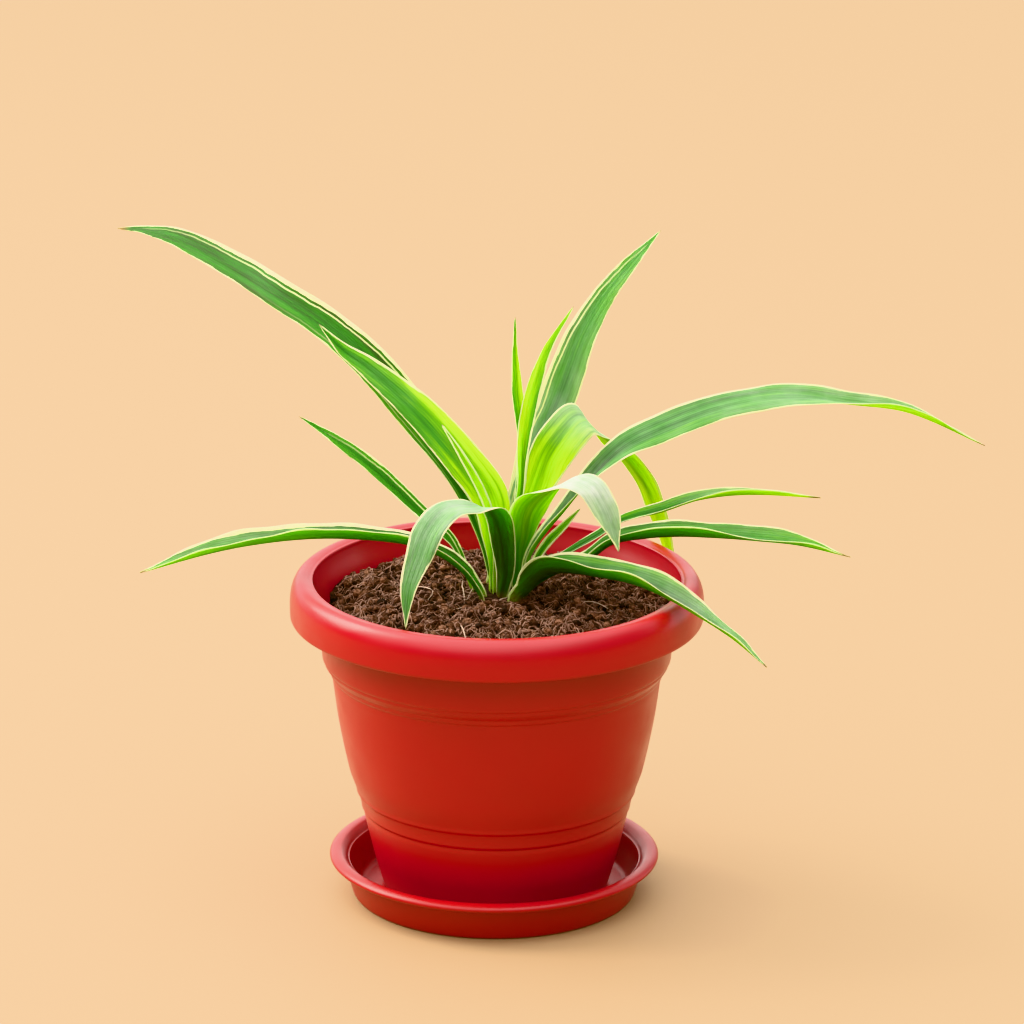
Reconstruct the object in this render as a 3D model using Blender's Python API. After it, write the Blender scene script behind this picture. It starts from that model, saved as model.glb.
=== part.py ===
"""A spider plant in a moulded plastic pot that stands on its saucer.

The origin is on the pot's axis, at the underside of the saucer. +X is right, +Y is back, +Z is up.
"""
import math
from typing import NamedTuple

import bmesh
import bpy
from mathutils import Vector, noise

# Lengths are in millimetres, and MM turns them to metres when a mesh is made.
MM = 0.001

# Driving dimensions
RIM_RADIUS = 100.0
RIM_TOP = 160.6
SKIRT_HEIGHT = 19.4
BODY_TOP_RADIUS = 84.8
FOOT_RADIUS = 53.6
WALL = 2.2
SAUCER_RADIUS = 80.2
SAUCER_BASE_RADIUS = 67.6
SAUCER_HEIGHT = 21.2
SAUCER_FLOOR = 2.0
SAUCER_SHIFT = -0.8
SOIL_MIDDLE = 152.0
SOIL_EDGE = 146.0
SOIL_SHOULDER = 80.0
CROWN_RADIUS = 18.0
CROWN_TOP = 151.0
ROOT_END = 104.0
TOUCH_GAP = 0.3
ROUND_SIDES = 48

# The pot's floor, worked up from the saucer that it stands in
FOOT_UNDERSIDE = SAUCER_FLOOR + TOUCH_GAP
FLOOR_UNDERSIDE = FOOT_UNDERSIDE + 1.5
FLOOR_TOP = FLOOR_UNDERSIDE + WALL
SKIRT_BOTTOM = RIM_TOP - SKIRT_HEIGHT

# Rings pressed round the pot: height of each groove, and the radius of the wall there
RING_GROOVES = ((120.6, 84.1), (112.9, 80.3), (52.6, 67.7), (44.4, 65.2))
GROOVE_DEPTH = 0.7
GROOVE_HALF_WIDTH = 0.9

DRAIN_COUNT = 6
DRAIN_RADIUS = 4.0
DRAIN_CIRCLE = 33.0
MIDDLE_DRAIN_RADIUS = 5.0

BLADE_EDGE_HALF = 0.35
BLADE_KEEL_HALF = 0.45
STEPS_BETWEEN_POINTS = 2
WAVE_TURNS = 19.0
ROUTE_LEVEL = 150.0


class Leaf(NamedTuple):
    """One strap leaf, by the route of its midrib."""
    name: str
    wave: float
    strips: int
    widths: tuple
    fold: tuple
    roll: tuple
    route: tuple


# Route points run from the crown to the tip: right, back and up from the place on the axis at
# ROUTE_LEVEL. Widths are the flat blade's, fold is how far each half is raised and roll is the turn
# about the midrib. Each of these lists is evenly spaced from the base to the tip, in degrees or mm.
LEAVES = (
    Leaf("leaf_left_long", 0.4, 4,
         (6, 9.5, 18, 18.5, 17, 15.5, 14.5, 10.5, 1),
         (38, 34, 24, 12, 8, 8, 8, 8, 10),
         (0, -8, -25, -42, -46, -46, -42, -38, -30),
         ((-3.5, 11), (-3.5, 11.5, 5), (-8.5, 15, 25), (-21, 22, 52.5), (-37.5, 38, 75), (-60.5, 56, 99.5),
          (-84, 75, 115), (-107, 95, 124), (-126, 118, 129.5), (-158.5, 150, 137), (-176, 165, 137.2),
          (-192, 180, 134))),
    Leaf("leaf_left_broad", 0.8, 4,
         (7, 14, 19.5, 20, 18, 16, 13, 8, 1),
         (38, 34, 22, 12, 8, 8, 8, 8, 10),
         (0, -20, -38, -42, -44, -44, -42, -40, -35),
         ((-3.5, 4), (-3.5, 4.5, 5), (-3, 6, 28), (-4.3, 9.5, 47), (-16.3, 15, 64.3), (-34, 26, 82), (-47, 34, 92),
          (-64, 42, 104), (-76, 48, 111), (-87, 54, 121))),
    Leaf("leaf_left_young", 0, 2,
         (4, 4.5, 5, 5, 4, 1),
         (40, 36, 30, 26, 24, 24),
         (0, -12, -26, -34, -36, -36),
         ((-2, -0.5), (-2, -0.5, 6), (-2, -0.5, 34), (-7.5, 2, 52), (-17.5, 7.5, 69.5), (-27, 14, 83))),
    Leaf("leaf_left_slanted", 0, 2,
         (5, 7, 8, 8.5, 8, 6, 1),
         (38, 30, 16, 12, 12, 14, 16),
         (0, -10, -30, -40, -42, -40, -30),
         ((-12, 3), (-12.5, 3.2, 4), (-17, 4, 15), (-23, 6, 27), (-38, 10, 41), (-61, 16, 61.5), (-80, 21, 74),
          (-96, 26, 83))),
    Leaf("leaf_left_level", 0.3, 4,
         (9, 13, 15, 17, 17.5, 17.5, 17, 12, 1),
         (38, 40, 42, 46, 52, 46, 45, 42, 36),
         (0, 0, 6, 8, 0, -6, -10, -10, -8),
         ((-8, -9), (-8.5, -9, 4), (-11.5, -9, 9), (-17, -8.5, 16), (-27, -7, 23), (-43, -5, 28.5), (-74, -1, 30),
          (-101, 3, 27.5), (-133, 8, 20.5), (-173, 14, 7))),
    Leaf("leaf_front_folded", 0.5, 4,
         (8, 12, 15, 14.5, 17, 18, 17, 13, 8, 1),
         (36, 36, 36, 22, 4, 4, 4, 4, 6, 8),
         (0, 28, 36, 18, -8, -8, -8, -6, -6, -6),
         ((1, -7), (1.3, -7.5, 5), (3.3, -9, 18), (2.4, -12, 33), (-0.5, -15, 45), (-4.5, -18.5, 50.5),
          (-13, -24.5, 54), (-24, -34, 55), (-32, -42, 48), (-37, -50, 37), (-42, -57, 22), (-43, -62, 5))),
    Leaf("leaf_front_arching", 0.8, 4,
         (7, 11, 17, 18.5, 18, 15, 12, 1),
         (36, 28, 18, 8, 4, 4, 6, 8),
         (0, -10, -26, -34, 0, 30, 30, 20),
         ((11, -1), (11, -1, 5), (10.5, -1.5, 16.5), (12.5, -4, 31.5), (15.5, -9.5, 48), (24, -15, 58.5),
          (35, -21, 65.5), (44, -27, 65), (50, -31, 57.5), (54.5, -34, 47.5), (58, -37, 36))),
    Leaf("leaf_front_rim", 0.5, 4,
         (12, 20, 21.5, 22, 23, 21, 17.2, 12.8, 7.2, 1),
         (58, 62, 58, 46, 50, 47, 40, 37, 34, 24),
         (0, -10, -10, 0, 6, 6, 2, -1, -4, -4),
         ((11, -13), (11.5, -13, 4), (15.5, -14, 8), (23, -17, 17), (34, -23, 20.5), (48, -30, 21), (65.5, -38, 20),
          (81, -45, 15.5), (95, -51, 9), (112.5, -60, 0), (128, -68, -11))),
    Leaf("leaf_right_long", 0.3, 4,
         (6, 9, 14, 18, 18, 17.5, 14.5, 9, 1),
         (50, 44, 22, 2, 2, 6, 40, 44, 40),
         (0, 0, 14, 30, 28, 22, 14, 2, 0),
         ((14, 6), (14, 6, 5), (15.5, 5.5, 18), (22, 6, 29.5), (31.5, 9, 40.5), (44, 12, 56), (60.5, 18, 71),
          (79, 24, 79), (107.5, 32, 87.5), (141, 40, 90.5), (170.5, 47, 84.5), (200, 54, 78), (238, 62, 59))),
    Leaf("leaf_right_upper", 0, 2,
         (5, 7, 9, 10, 11, 10.5, 8.5, 5.5, 1),
         (40, 30, 18, 22, 44, 40, 55, 58, 50),
         (0, 0, 0, 0, 16, 8, -6, -10, -10),
         ((16, 2.5), (16.5, 3, 4), (21.5, 4, 10.5), (30, 5.5, 17.5), (37, 7, 22), (49, 10, 28.5), (59.5, 13, 34.5),
          (80, 18, 38.5), (98, 23, 43), (122, 28, 44), (157, 36, 40))),
    Leaf("leaf_right_lower", 0.3, 4,
         (6, 10, 13, 16.5, 17.5, 17, 16, 11, 1),
         (38, 40, 44, 50, 51, 45, 38, 38, 34),
         (0, 0, 0, -2, 0, 5, 14, 5, 0),
         ((14, -6.5), (14.5, -6.5, 4), (20, -6, 9.5), (30, -5.5, 15), (43.5, -5, 20.5), (55.5, -4.5, 29),
          (71.5, -4, 32), (87, -4, 33), (103, -4, 32.5), (120.5, -4, 31.5), (144.5, -4, 29), (170, -4, 23))),
    Leaf("leaf_tall_right", 0.6, 4,
         (7, 8.5, 11.5, 16.5, 18.5, 16, 11.5, 7.5, 1),
         (38, 34, 28, 18, 10, 8, 8, 8, 10),
         (0, 4, 14, 30, 38, 38, 36, 34, 30),
         ((-2, 16), (-1.5, 16.5, 5), (3, 19, 24), (12, 25, 51), (17.5, 29, 68.7), (26, 34, 83.2), (33.5, 41, 102),
          (39.8, 48, 117.7), (50.5, 60, 133.8), (64.5, 75, 147.4), (79, 92, 159))),
    Leaf("leaf_back_broad", 0.6, 4,
         (6, 9, 12, 21, 22, 19, 17, 15.5, 13, 8, 1),
         (38, 34, 26, 10, 4, 8, 16, 16, 12, 10, 10),
         (0, 12, 30, 40, 30, 8, -6, -10, -10, -8, -4),
         ((8, 12), (8.5, 12, 5), (12.5, 12, 30), (20.5, 12, 54), (25, 13, 67), (32, 16, 77.2), (40, 22, 83.4),
          (46.5, 31, 76), (54, 40, 65.5), (64.5, 50, 52), (72.5, 61, 36.5), (79, 70, 17.5), (84, 76, 0),
          (87, 79, -22))),
    Leaf("leaf_upright_slim", 0, 2,
         (3.5, 4, 4, 4, 4.5, 6, 3.5, 1),
         (45, 40, 35, 30, 26, 20, 20, 20),
         (0, 10, 25, 35, 38, 38, 38, 38),
         ((3.5, 6), (4.8, 6.8, 8), (9.5, 9, 45), (11.2, 10.5, 75), (10.5, 11, 87), (9, 12.5, 102), (8, 13, 119),
          (8, 14, 137))),
    Leaf("leaf_upright_young", 0, 2,
         (4, 6, 7, 7.5, 8.5, 7.5, 4, 1),
         (50, 58, 62, 58, 28, 14, 14, 14),
         (0, 20, 38, 40, 40, 40, 38, 34),
         ((5.5, 2), (6, 2, 8), (9.5, 3.5, 32), (12, 5, 57), (12.5, 6, 71), (14, 8, 86), (17.5, 11, 103), (24, 16, 121),
          (36, 23, 140))),
    Leaf("leaf_short_pointed", 0, 2,
         (3.5, 5, 5.5, 4.5, 1),
         (40, 34, 26, 22, 20),
         (0, 20, 34, 36, 36),
         ((13, 10.5), (14, 10.5, 4), (18.5, 10.5, 14.5), (24, 12, 23.5), (33, 17, 32), (40, 23, 38))),
)


def clear_scene():
    """Remove what the file starts with."""
    for thing in list(bpy.data.objects):
        bpy.data.objects.remove(thing, do_unlink=True)


def plain_material(name, colour, roughness, metallic=0.0):
    """A Principled material with the piece's own colour."""
    material = bpy.data.materials.new(name)
    material.use_nodes = True
    shader = material.node_tree.nodes["Principled BSDF"]
    shader.inputs["Base Color"].default_value = (*colour, 1.0)
    shader.inputs["Roughness"].default_value = roughness
    shader.inputs["Metallic"].default_value = metallic
    return material


def place(name, shape, material):
    """Turn a bmesh in metres into a named object with one material."""
    bmesh.ops.recalc_face_normals(shape, faces=shape.faces)
    mesh = bpy.data.meshes.new(name)
    shape.to_mesh(mesh)
    shape.free()
    mesh.materials.append(material)
    piece = bpy.data.objects.new(name, mesh)
    bpy.context.scene.collection.objects.link(piece)
    return piece


def smooth(piece, angle=35):
    """Shade a round piece smooth, with its real edges kept sharp."""
    piece.data.shade_smooth()
    piece.data.set_sharp_from_angle(angle=math.radians(angle))


def curve_through(points, steps):
    """Points on a smooth curve that passes through every given point."""
    ends = [2 * points[0] - points[1]] + list(points) + [2 * points[-1] - points[-2]]
    found = []
    for before, start, end, after in zip(ends, ends[1:], ends[2:], ends[3:]):
        span = (end - start).length
        leave = (end - before).normalized() * span
        arrive = (after - start).normalized() * span
        for step in range(steps):
            t = step / steps
            found.append((2 * t ** 3 - 3 * t ** 2 + 1) * start + (t ** 3 - 2 * t ** 2 + t) * leave
                         + (3 * t ** 2 - 2 * t ** 3) * end + (t ** 3 - t ** 2) * arrive)
    return found + [points[-1].copy()]


def turned(outline, closed):
    """Spin an outline of (radius, height) points in millimetres about the Z axis."""
    shape = bmesh.new()
    corners = [shape.verts.new((radius * MM, 0.0, height * MM)) for radius, height in outline]
    pairs = list(zip(corners, corners[1:]))
    if closed:
        pairs.append((corners[-1], corners[0]))
    edges = [shape.edges.new(pair) for pair in pairs]
    bmesh.ops.spin(shape, geom=corners + edges, cent=(0, 0, 0), axis=(0, 0, 1), angle=math.tau,
                   steps=ROUND_SIDES, use_merge=True)
    bmesh.ops.remove_doubles(shape, verts=shape.verts, dist=1e-6)
    return shape


def groove(height, radius):
    """A shallow V pressed into the wall, from top to bottom."""
    return [(radius, height + GROOVE_HALF_WIDTH), (radius - GROOVE_DEPTH, height),
            (radius, height - GROOVE_HALF_WIDTH)]


def body_curve():
    """The pot's outer wall below the collar, from the second ring down to the foot."""
    knots = [(79.7, 111.2), (76.7, 90), (71.6, 65), (67.7, 53.5)]
    upper = curve_through([Vector(knot) for knot in knots], 2)
    lower = curve_through([Vector(knot) for knot in ((65.0, 43.5), (60.4, 25), (54.9, 5.2))], 2)
    return [tuple(p) for p in upper], [tuple(p) for p in lower]


def pot_outline():
    """The pot's whole section, from the foot up the outside, over the rim and down the inside."""
    upper, lower = body_curve()
    outer = [(FOOT_RADIUS - 5, FOOT_UNDERSIDE), (FOOT_RADIUS - 0.8, FOOT_UNDERSIDE),
             (FOOT_RADIUS + 0.3, FOOT_UNDERSIDE + 0.8)]
    outer += lower[::-1] + groove(*RING_GROOVES[3])[::-1]
    outer += groove(*RING_GROOVES[2])[::-1] + upper[::-1][1:]
    outer += groove(*RING_GROOVES[1])[::-1] + groove(*RING_GROOVES[0])[::-1]
    outer += [(BODY_TOP_RADIUS, 125.0), (BODY_TOP_RADIUS + 0.1, SKIRT_BOTTOM)]
    under_rim = [(87.4, 149.5), (89.9, 155.6), (92.4, 158.2), (95.0, 158.0), (97.0, 155.6), (97.8, 151.0),
                 (97.7, SKIRT_BOTTOM)]
    over_rim = [(RIM_RADIUS - 0.5, SKIRT_BOTTOM), (RIM_RADIUS, SKIRT_BOTTOM + 1.2), (RIM_RADIUS, 150.0),
                (99.5, 154.5), (98.2, 158.0), (96.2, 160.0), (94.0, RIM_TOP), (91.6, RIM_TOP), (90.0, 160.0),
                (89.2, 158.6)]
    inside = [(87.4, 155.4), (85.2, 149.5), (82.7, SKIRT_BOTTOM), (82.5, 125.0), (81.6, 120.0), (77.6, 111.0),
              (74.4, 90.0), (69.2, 65.0), (62.8, 44.0), (58.0, 25.0), (52.4, 8.0), (51.2, FLOOR_TOP)]
    floor = [(MIDDLE_DRAIN_RADIUS, FLOOR_TOP), (MIDDLE_DRAIN_RADIUS, FLOOR_UNDERSIDE),
             (FOOT_RADIUS - 6, FLOOR_UNDERSIDE)]
    return outer + under_rim + over_rim + inside + floor


def make_pot():
    """The moulded pot, with drain holes through its floor."""
    red = plain_material("red_plastic_pot", (0.43, 0.012, 0.010), 0.38)
    pot = place("pot", turned(pot_outline(), closed=True), red)
    smooth(pot)
    drains = bmesh.new()
    for index in range(DRAIN_COUNT):
        turn = math.tau * (index + 0.5) / DRAIN_COUNT
        middle = Vector((math.cos(turn) * DRAIN_CIRCLE, math.sin(turn) * DRAIN_CIRCLE, FLOOR_UNDERSIDE)) * MM
        made = bmesh.ops.create_cone(drains, cap_ends=True, segments=16, radius1=DRAIN_RADIUS * MM,
                                     radius2=DRAIN_RADIUS * MM, depth=4 * WALL * MM)
        bmesh.ops.translate(drains, verts=made["verts"], vec=middle)
    cutter = place("drain_cutter", drains, red)
    cutter.hide_render = True
    cutter.display_type = "WIRE"
    cut = pot.modifiers.new("drain holes", "BOOLEAN")
    cut.operation = "DIFFERENCE"
    cut.solver = "EXACT"
    cut.object = cutter


def saucer_outline():
    """The saucer's section, from the middle of its underside round the lip to the middle of its floor."""
    base = SAUCER_BASE_RADIUS
    lip = SAUCER_RADIUS
    top = SAUCER_HEIGHT
    underside = [(0, 0), (base, 0), (base + 1.1, 0.5), (base + 1.7, 1.8)]
    rolled_lip = [(73.2, 17.6), (75.0, 18.4), (lip - 1.2, 17.8), (lip, 18.6), (lip - 0.3, 19.8), (lip - 1.6, 20.8),
                  (lip - 3.6, top), (lip - 5.6, top - 0.3), (lip - 7.2, top - 1.4)]
    inside = [(71.6, 18.2), (71.2, 17.4), (70.6, 17.2), (66.6, 4.6), (65.4, 2.8), (63.4, SAUCER_FLOOR),
              (0, SAUCER_FLOOR)]
    return underside + rolled_lip + inside


def make_saucer():
    """The dish that catches the water."""
    red = plain_material("red_plastic_saucer", (0.43, 0.012, 0.010), 0.36)
    shape = turned(saucer_outline(), closed=False)
    bmesh.ops.translate(shape, verts=shape.verts, vec=(SAUCER_SHIFT * MM, 0, 0))
    smooth(place("saucer", shape, red))


def lump(x, y):
    """How far the soil's top rises or falls at a place, in millimetres."""
    coarse = noise.noise(Vector((x / 17, y / 17, 3.1)))
    fine = noise.noise(Vector((x / 7, y / 7, 8.4)))
    return 2.2 * coarse + 1.2 * fine


def soil_outline():
    """The soil's section: up the root's hole, across the top, down the wall and across the floor."""
    hole_gap = TOUCH_GAP + 0.1
    hole = [(0, ROOT_END - hole_gap), (5 + hole_gap, ROOT_END + 4 - hole_gap),
            (10 + hole_gap, 124), (CROWN_RADIUS + hole_gap, 142), (CROWN_RADIUS + hole_gap, SOIL_MIDDLE)]
    top = []
    for radius in (26, 35, 44, 53, 62, 70, 77):
        share = radius / 84
        top.append((radius, SOIL_MIDDLE + (SOIL_EDGE - SOIL_MIDDLE) * share ** 2))
    wall = [(83.8, SOIL_EDGE), (82.35, SKIRT_BOTTOM), (82.15, 125), (81.25, 120), (77.25, 111), (74.05, 90),
            (68.85, 65), (62.45, 44), (57.65, 25), (52.05, 8.2), (50.9, FLOOR_TOP + TOUCH_GAP)]
    return hole + top + wall + [(0, FLOOR_TOP + TOUCH_GAP)]


def make_soil():
    """Coir and peat, lumpy on top, with a plain hole for the crown's root."""
    brown = plain_material("coir_soil", (0.060, 0.030, 0.018), 0.95)
    shape = turned(soil_outline(), closed=False)
    for corner in shape.verts:
        x, y, z = corner.co / MM
        radius = math.hypot(x, y)
        if z > SOIL_EDGE - 1 and radius > CROWN_RADIUS + 2:
            rise = lump(x, y)
            # Next to the wall the soil only rises, so that it keeps its gap to the pot.
            corner.co.z += (max(rise, 0.0) if radius > SOIL_SHOULDER else rise) * MM
    smooth(place("soil", shape, brown), 60)


def make_crown():
    """The rootstock: a flat head that the leaves stand on, and a root that tapers into the soil."""
    green = plain_material("pale_rootstock", (0.30, 0.28, 0.12), 0.6)
    outline = [(0, CROWN_TOP), (CROWN_RADIUS - 1, CROWN_TOP), (CROWN_RADIUS, CROWN_TOP - 1), (CROWN_RADIUS, 142.4),
               (10, 124.4), (5, ROOT_END + 4), (0, ROOT_END)]
    smooth(place("crown", turned(outline, closed=False), green))


def along(values, t):
    """A value from an evenly spaced list, smoothly, at the share t of the way along."""
    spot = t * (len(values) - 1)
    index = min(int(spot), len(values) - 2)
    rest = spot - index
    before, start, end, after = (values[min(max(index + step, 0), len(values) - 1)] for step in (-1, 0, 1, 2))
    return start + 0.5 * rest * (end - before + rest * (2 * before - 5 * start + 4 * end - after
                                                        + rest * (3 * start - before - 3 * end + after)))


def leaf_frames(leaf):
    """Places along the midrib, each with its share of the length and its two cross directions."""
    seat = CROWN_TOP + TOUCH_GAP - ROUTE_LEVEL
    route = [Vector((*point, seat)) if len(point) == 2 else Vector(point) for point in leaf.route]
    spots = curve_through(route, STEPS_BETWEEN_POINTS)
    run = [0.0]
    for start, end in zip(spots, spots[1:]):
        run.append(run[-1] + (end - start).length)
    reach = route[-1] - route[0]
    leftward = Vector((-reach.y, reach.x, 0))
    frames = []
    for index, spot in enumerate(spots):
        t = run[index] / run[-1]
        before = spots[max(index - 1, 0)]
        after = spots[min(index + 1, len(spots) - 1)]
        ahead = (after - before).normalized() if index else Vector((0, 0, 1))
        across = (leftward - ahead * leftward.dot(ahead)).normalized()
        face = ahead.cross(across)
        roll = math.radians(along(leaf.roll, t))
        side = across * math.cos(roll) + face * math.sin(roll)
        up = face * math.cos(roll) - across * math.sin(roll)
        frames.append((t, spot + Vector((0, 0, ROUTE_LEVEL)), side, up))
    return frames


def leaf_shape(leaf):
    """A thin folded blade, closed all round, with both faces split into triangles alike."""
    shape = bmesh.new()
    rows = []
    half_strips = leaf.strips // 2
    for t, spot, side, up in leaf_frames(leaf):
        half = along(leaf.widths, t) / 2
        fold = math.radians(along(leaf.fold, t))
        wave = leaf.wave * math.sin(t * WAVE_TURNS + leaf.widths[2]) * math.sin(math.pi * t)
        tops, bottoms = [], []
        for strip in range(-half_strips, half_strips + 1):
            u = strip / half_strips
            hand = (u > 0) - (u < 0)
            out = side * (u * half * math.cos(fold)) + up * (abs(u) * half * math.sin(fold) + wave * u * abs(u))
            normal = up * math.cos(fold * abs(hand)) - side * (hand * math.sin(fold))
            thick = BLADE_KEEL_HALF + (BLADE_EDGE_HALF - BLADE_KEEL_HALF) * abs(u)
            tops.append(shape.verts.new((spot + out + normal * thick) * MM))
            bottoms.append(shape.verts.new((spot + out - normal * thick) * MM))
        rows.append(tops + bottoms[::-1])
    around = len(rows[0])
    strips = leaf.strips
    for lower, upper in zip(rows, rows[1:]):
        for index in range(around):
            after = (index + 1) % around
            corners = (lower[index], lower[after], upper[after], upper[index])
            # The far face runs the other way round, so its diagonal is swapped to match the near face.
            turned_over = strips < index < around - 1
            if turned_over:
                shape.faces.new((corners[0], corners[1], corners[3]))
                shape.faces.new((corners[1], corners[2], corners[3]))
            else:
                shape.faces.new((corners[0], corners[1], corners[2]))
                shape.faces.new((corners[0], corners[2], corners[3]))
    for row in (rows[0], rows[-1]):
        for index in range(strips):
            near, far = row[index], row[around - 1 - index]
            shape.faces.new((near, row[index + 1], row[around - 2 - index]))
            shape.faces.new((near, row[around - 2 - index], far))
    return shape


def make_leaves():
    """Every leaf of the plant, each a piece of its own."""
    for leaf in LEAVES:
        green = plain_material(leaf.name + "_green", (0.09, 0.30, 0.07), 0.4)
        smooth(place(leaf.name, leaf_shape(leaf), green), 50)


def main():
    clear_scene()
    make_pot()
    make_saucer()
    make_soil()
    make_crown()
    make_leaves()


main()
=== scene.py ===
"""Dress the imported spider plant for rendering: pot, saucer, soil, leaves and stage.

Lengths are in millimetres in the tables below and in metres in the meshes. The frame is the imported
part's own: +X right, +Y back, +Z up, with the origin under the middle of the saucer.
"""
import math
from typing import NamedTuple

import bmesh
import bpy
import numpy as np
from bpy.props import FloatProperty, FloatVectorProperty, IntProperty, PointerProperty
from mathutils import Matrix, Vector, noise


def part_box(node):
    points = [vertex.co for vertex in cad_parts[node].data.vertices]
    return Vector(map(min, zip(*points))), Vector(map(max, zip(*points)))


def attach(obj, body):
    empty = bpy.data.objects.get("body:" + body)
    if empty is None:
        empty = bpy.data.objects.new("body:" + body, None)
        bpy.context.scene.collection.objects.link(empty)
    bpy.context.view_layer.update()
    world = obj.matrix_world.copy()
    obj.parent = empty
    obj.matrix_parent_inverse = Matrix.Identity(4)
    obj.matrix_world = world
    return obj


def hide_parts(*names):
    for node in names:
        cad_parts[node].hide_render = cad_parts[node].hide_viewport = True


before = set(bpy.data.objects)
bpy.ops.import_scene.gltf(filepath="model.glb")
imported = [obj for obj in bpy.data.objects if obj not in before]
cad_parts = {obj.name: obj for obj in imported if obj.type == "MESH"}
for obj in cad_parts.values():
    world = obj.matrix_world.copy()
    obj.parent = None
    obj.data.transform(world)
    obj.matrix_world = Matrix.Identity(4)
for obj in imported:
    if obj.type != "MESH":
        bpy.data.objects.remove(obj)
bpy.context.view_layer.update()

bl_info = {
    "name": "Potted spider plant",
    "version": (1, 0, 0),
    "blender": (4, 5, 0),
    "location": "3D View > Sidebar > Plant",
    "description": "Builds a spider plant in its plastic pot around the packed solids",
    "category": "Object",
}

MM = 0.001

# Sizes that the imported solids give
POT_LOW, POT_HIGH = (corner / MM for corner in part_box("pot"))
SAUCER_LOW, SAUCER_HIGH = (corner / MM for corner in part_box("saucer"))
CROWN_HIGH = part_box("crown")[1] / MM
RIM_RADIUS = POT_HIGH.x
RIM_TOP = POT_HIGH.z
SAUCER_RADIUS = (SAUCER_HIGH.x - SAUCER_LOW.x) / 2
SAUCER_SHIFT = (SAUCER_HIGH.x + SAUCER_LOW.x) / 2
SAUCER_HEIGHT = SAUCER_HIGH.z
CROWN_TOP = CROWN_HIGH.z
FOOT_UNDERSIDE = POT_LOW.z

# Sizes of the moulded pieces, as in the solids
SKIRT_BOTTOM = RIM_TOP - 19.4
BODY_TOP_RADIUS = 84.8
FOOT_RADIUS = 53.6
WALL = 2.2
FLOOR_UNDERSIDE = FOOT_UNDERSIDE + 1.5
FLOOR_TOP = FLOOR_UNDERSIDE + WALL
# The fine rings from the top one down: height, and the wall's radius there
RING_GROOVES = ((120.6, 84.1), (112.9, 80.3), (52.6, 67.7), (44.4, 65.2))
# A ring's profile going up, out from the wall in depths and up in half widths: undercut, then soft lip
GROOVE_PROFILE = ((-1, -0.6), (-0.85, -0.3), (-0.3, 0.15), (0.25, 0.7), (0.2, 1.3), (0, 2.2))
GROOVE_DEPTH = 0.6
GROOVE_HALF_WIDTH = 1.15
# How far the wall moves out for each millimetre up
WALL_LEAN = 0.22
DRAIN_COUNT = 6
DRAIN_RADIUS = 4.0
DRAIN_CIRCLE = 33.0
MIDDLE_DRAIN_RADIUS = 5.0
SAUCER_BASE_RADIUS = 67.6
SAUCER_FLOOR = 2.0
# Edges that turn by more than this many degrees stay crisp
SHARP_TURN = 50

# The plastic: how strongly pot and saucer reflect, and how far the gloss strays from its roughness
POT_REFLECTION = 0.57
SAUCER_REFLECTION = 0.45
GLOSSIER = 0.05
DULLER = 0.07

# The soil: levels of its middle and edge, its radius, cells along its grid and its random seed
SOIL_MIDDLE = 152.0
SOIL_EDGE = 146.0
SOIL_RADIUS = 83.8
SOIL_CELLS = 230
SOIL_SEED = 11

# The leaves, as in the solids
ROUTE_LEVEL = 150.0
TOUCH_GAP = 0.3
WAVE_TURNS = 19.0


class Leaf(NamedTuple):
    """One strap leaf, by the route of its midrib."""
    name: str
    wave: float
    widths: tuple
    fold: tuple
    roll: tuple
    route: tuple


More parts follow.
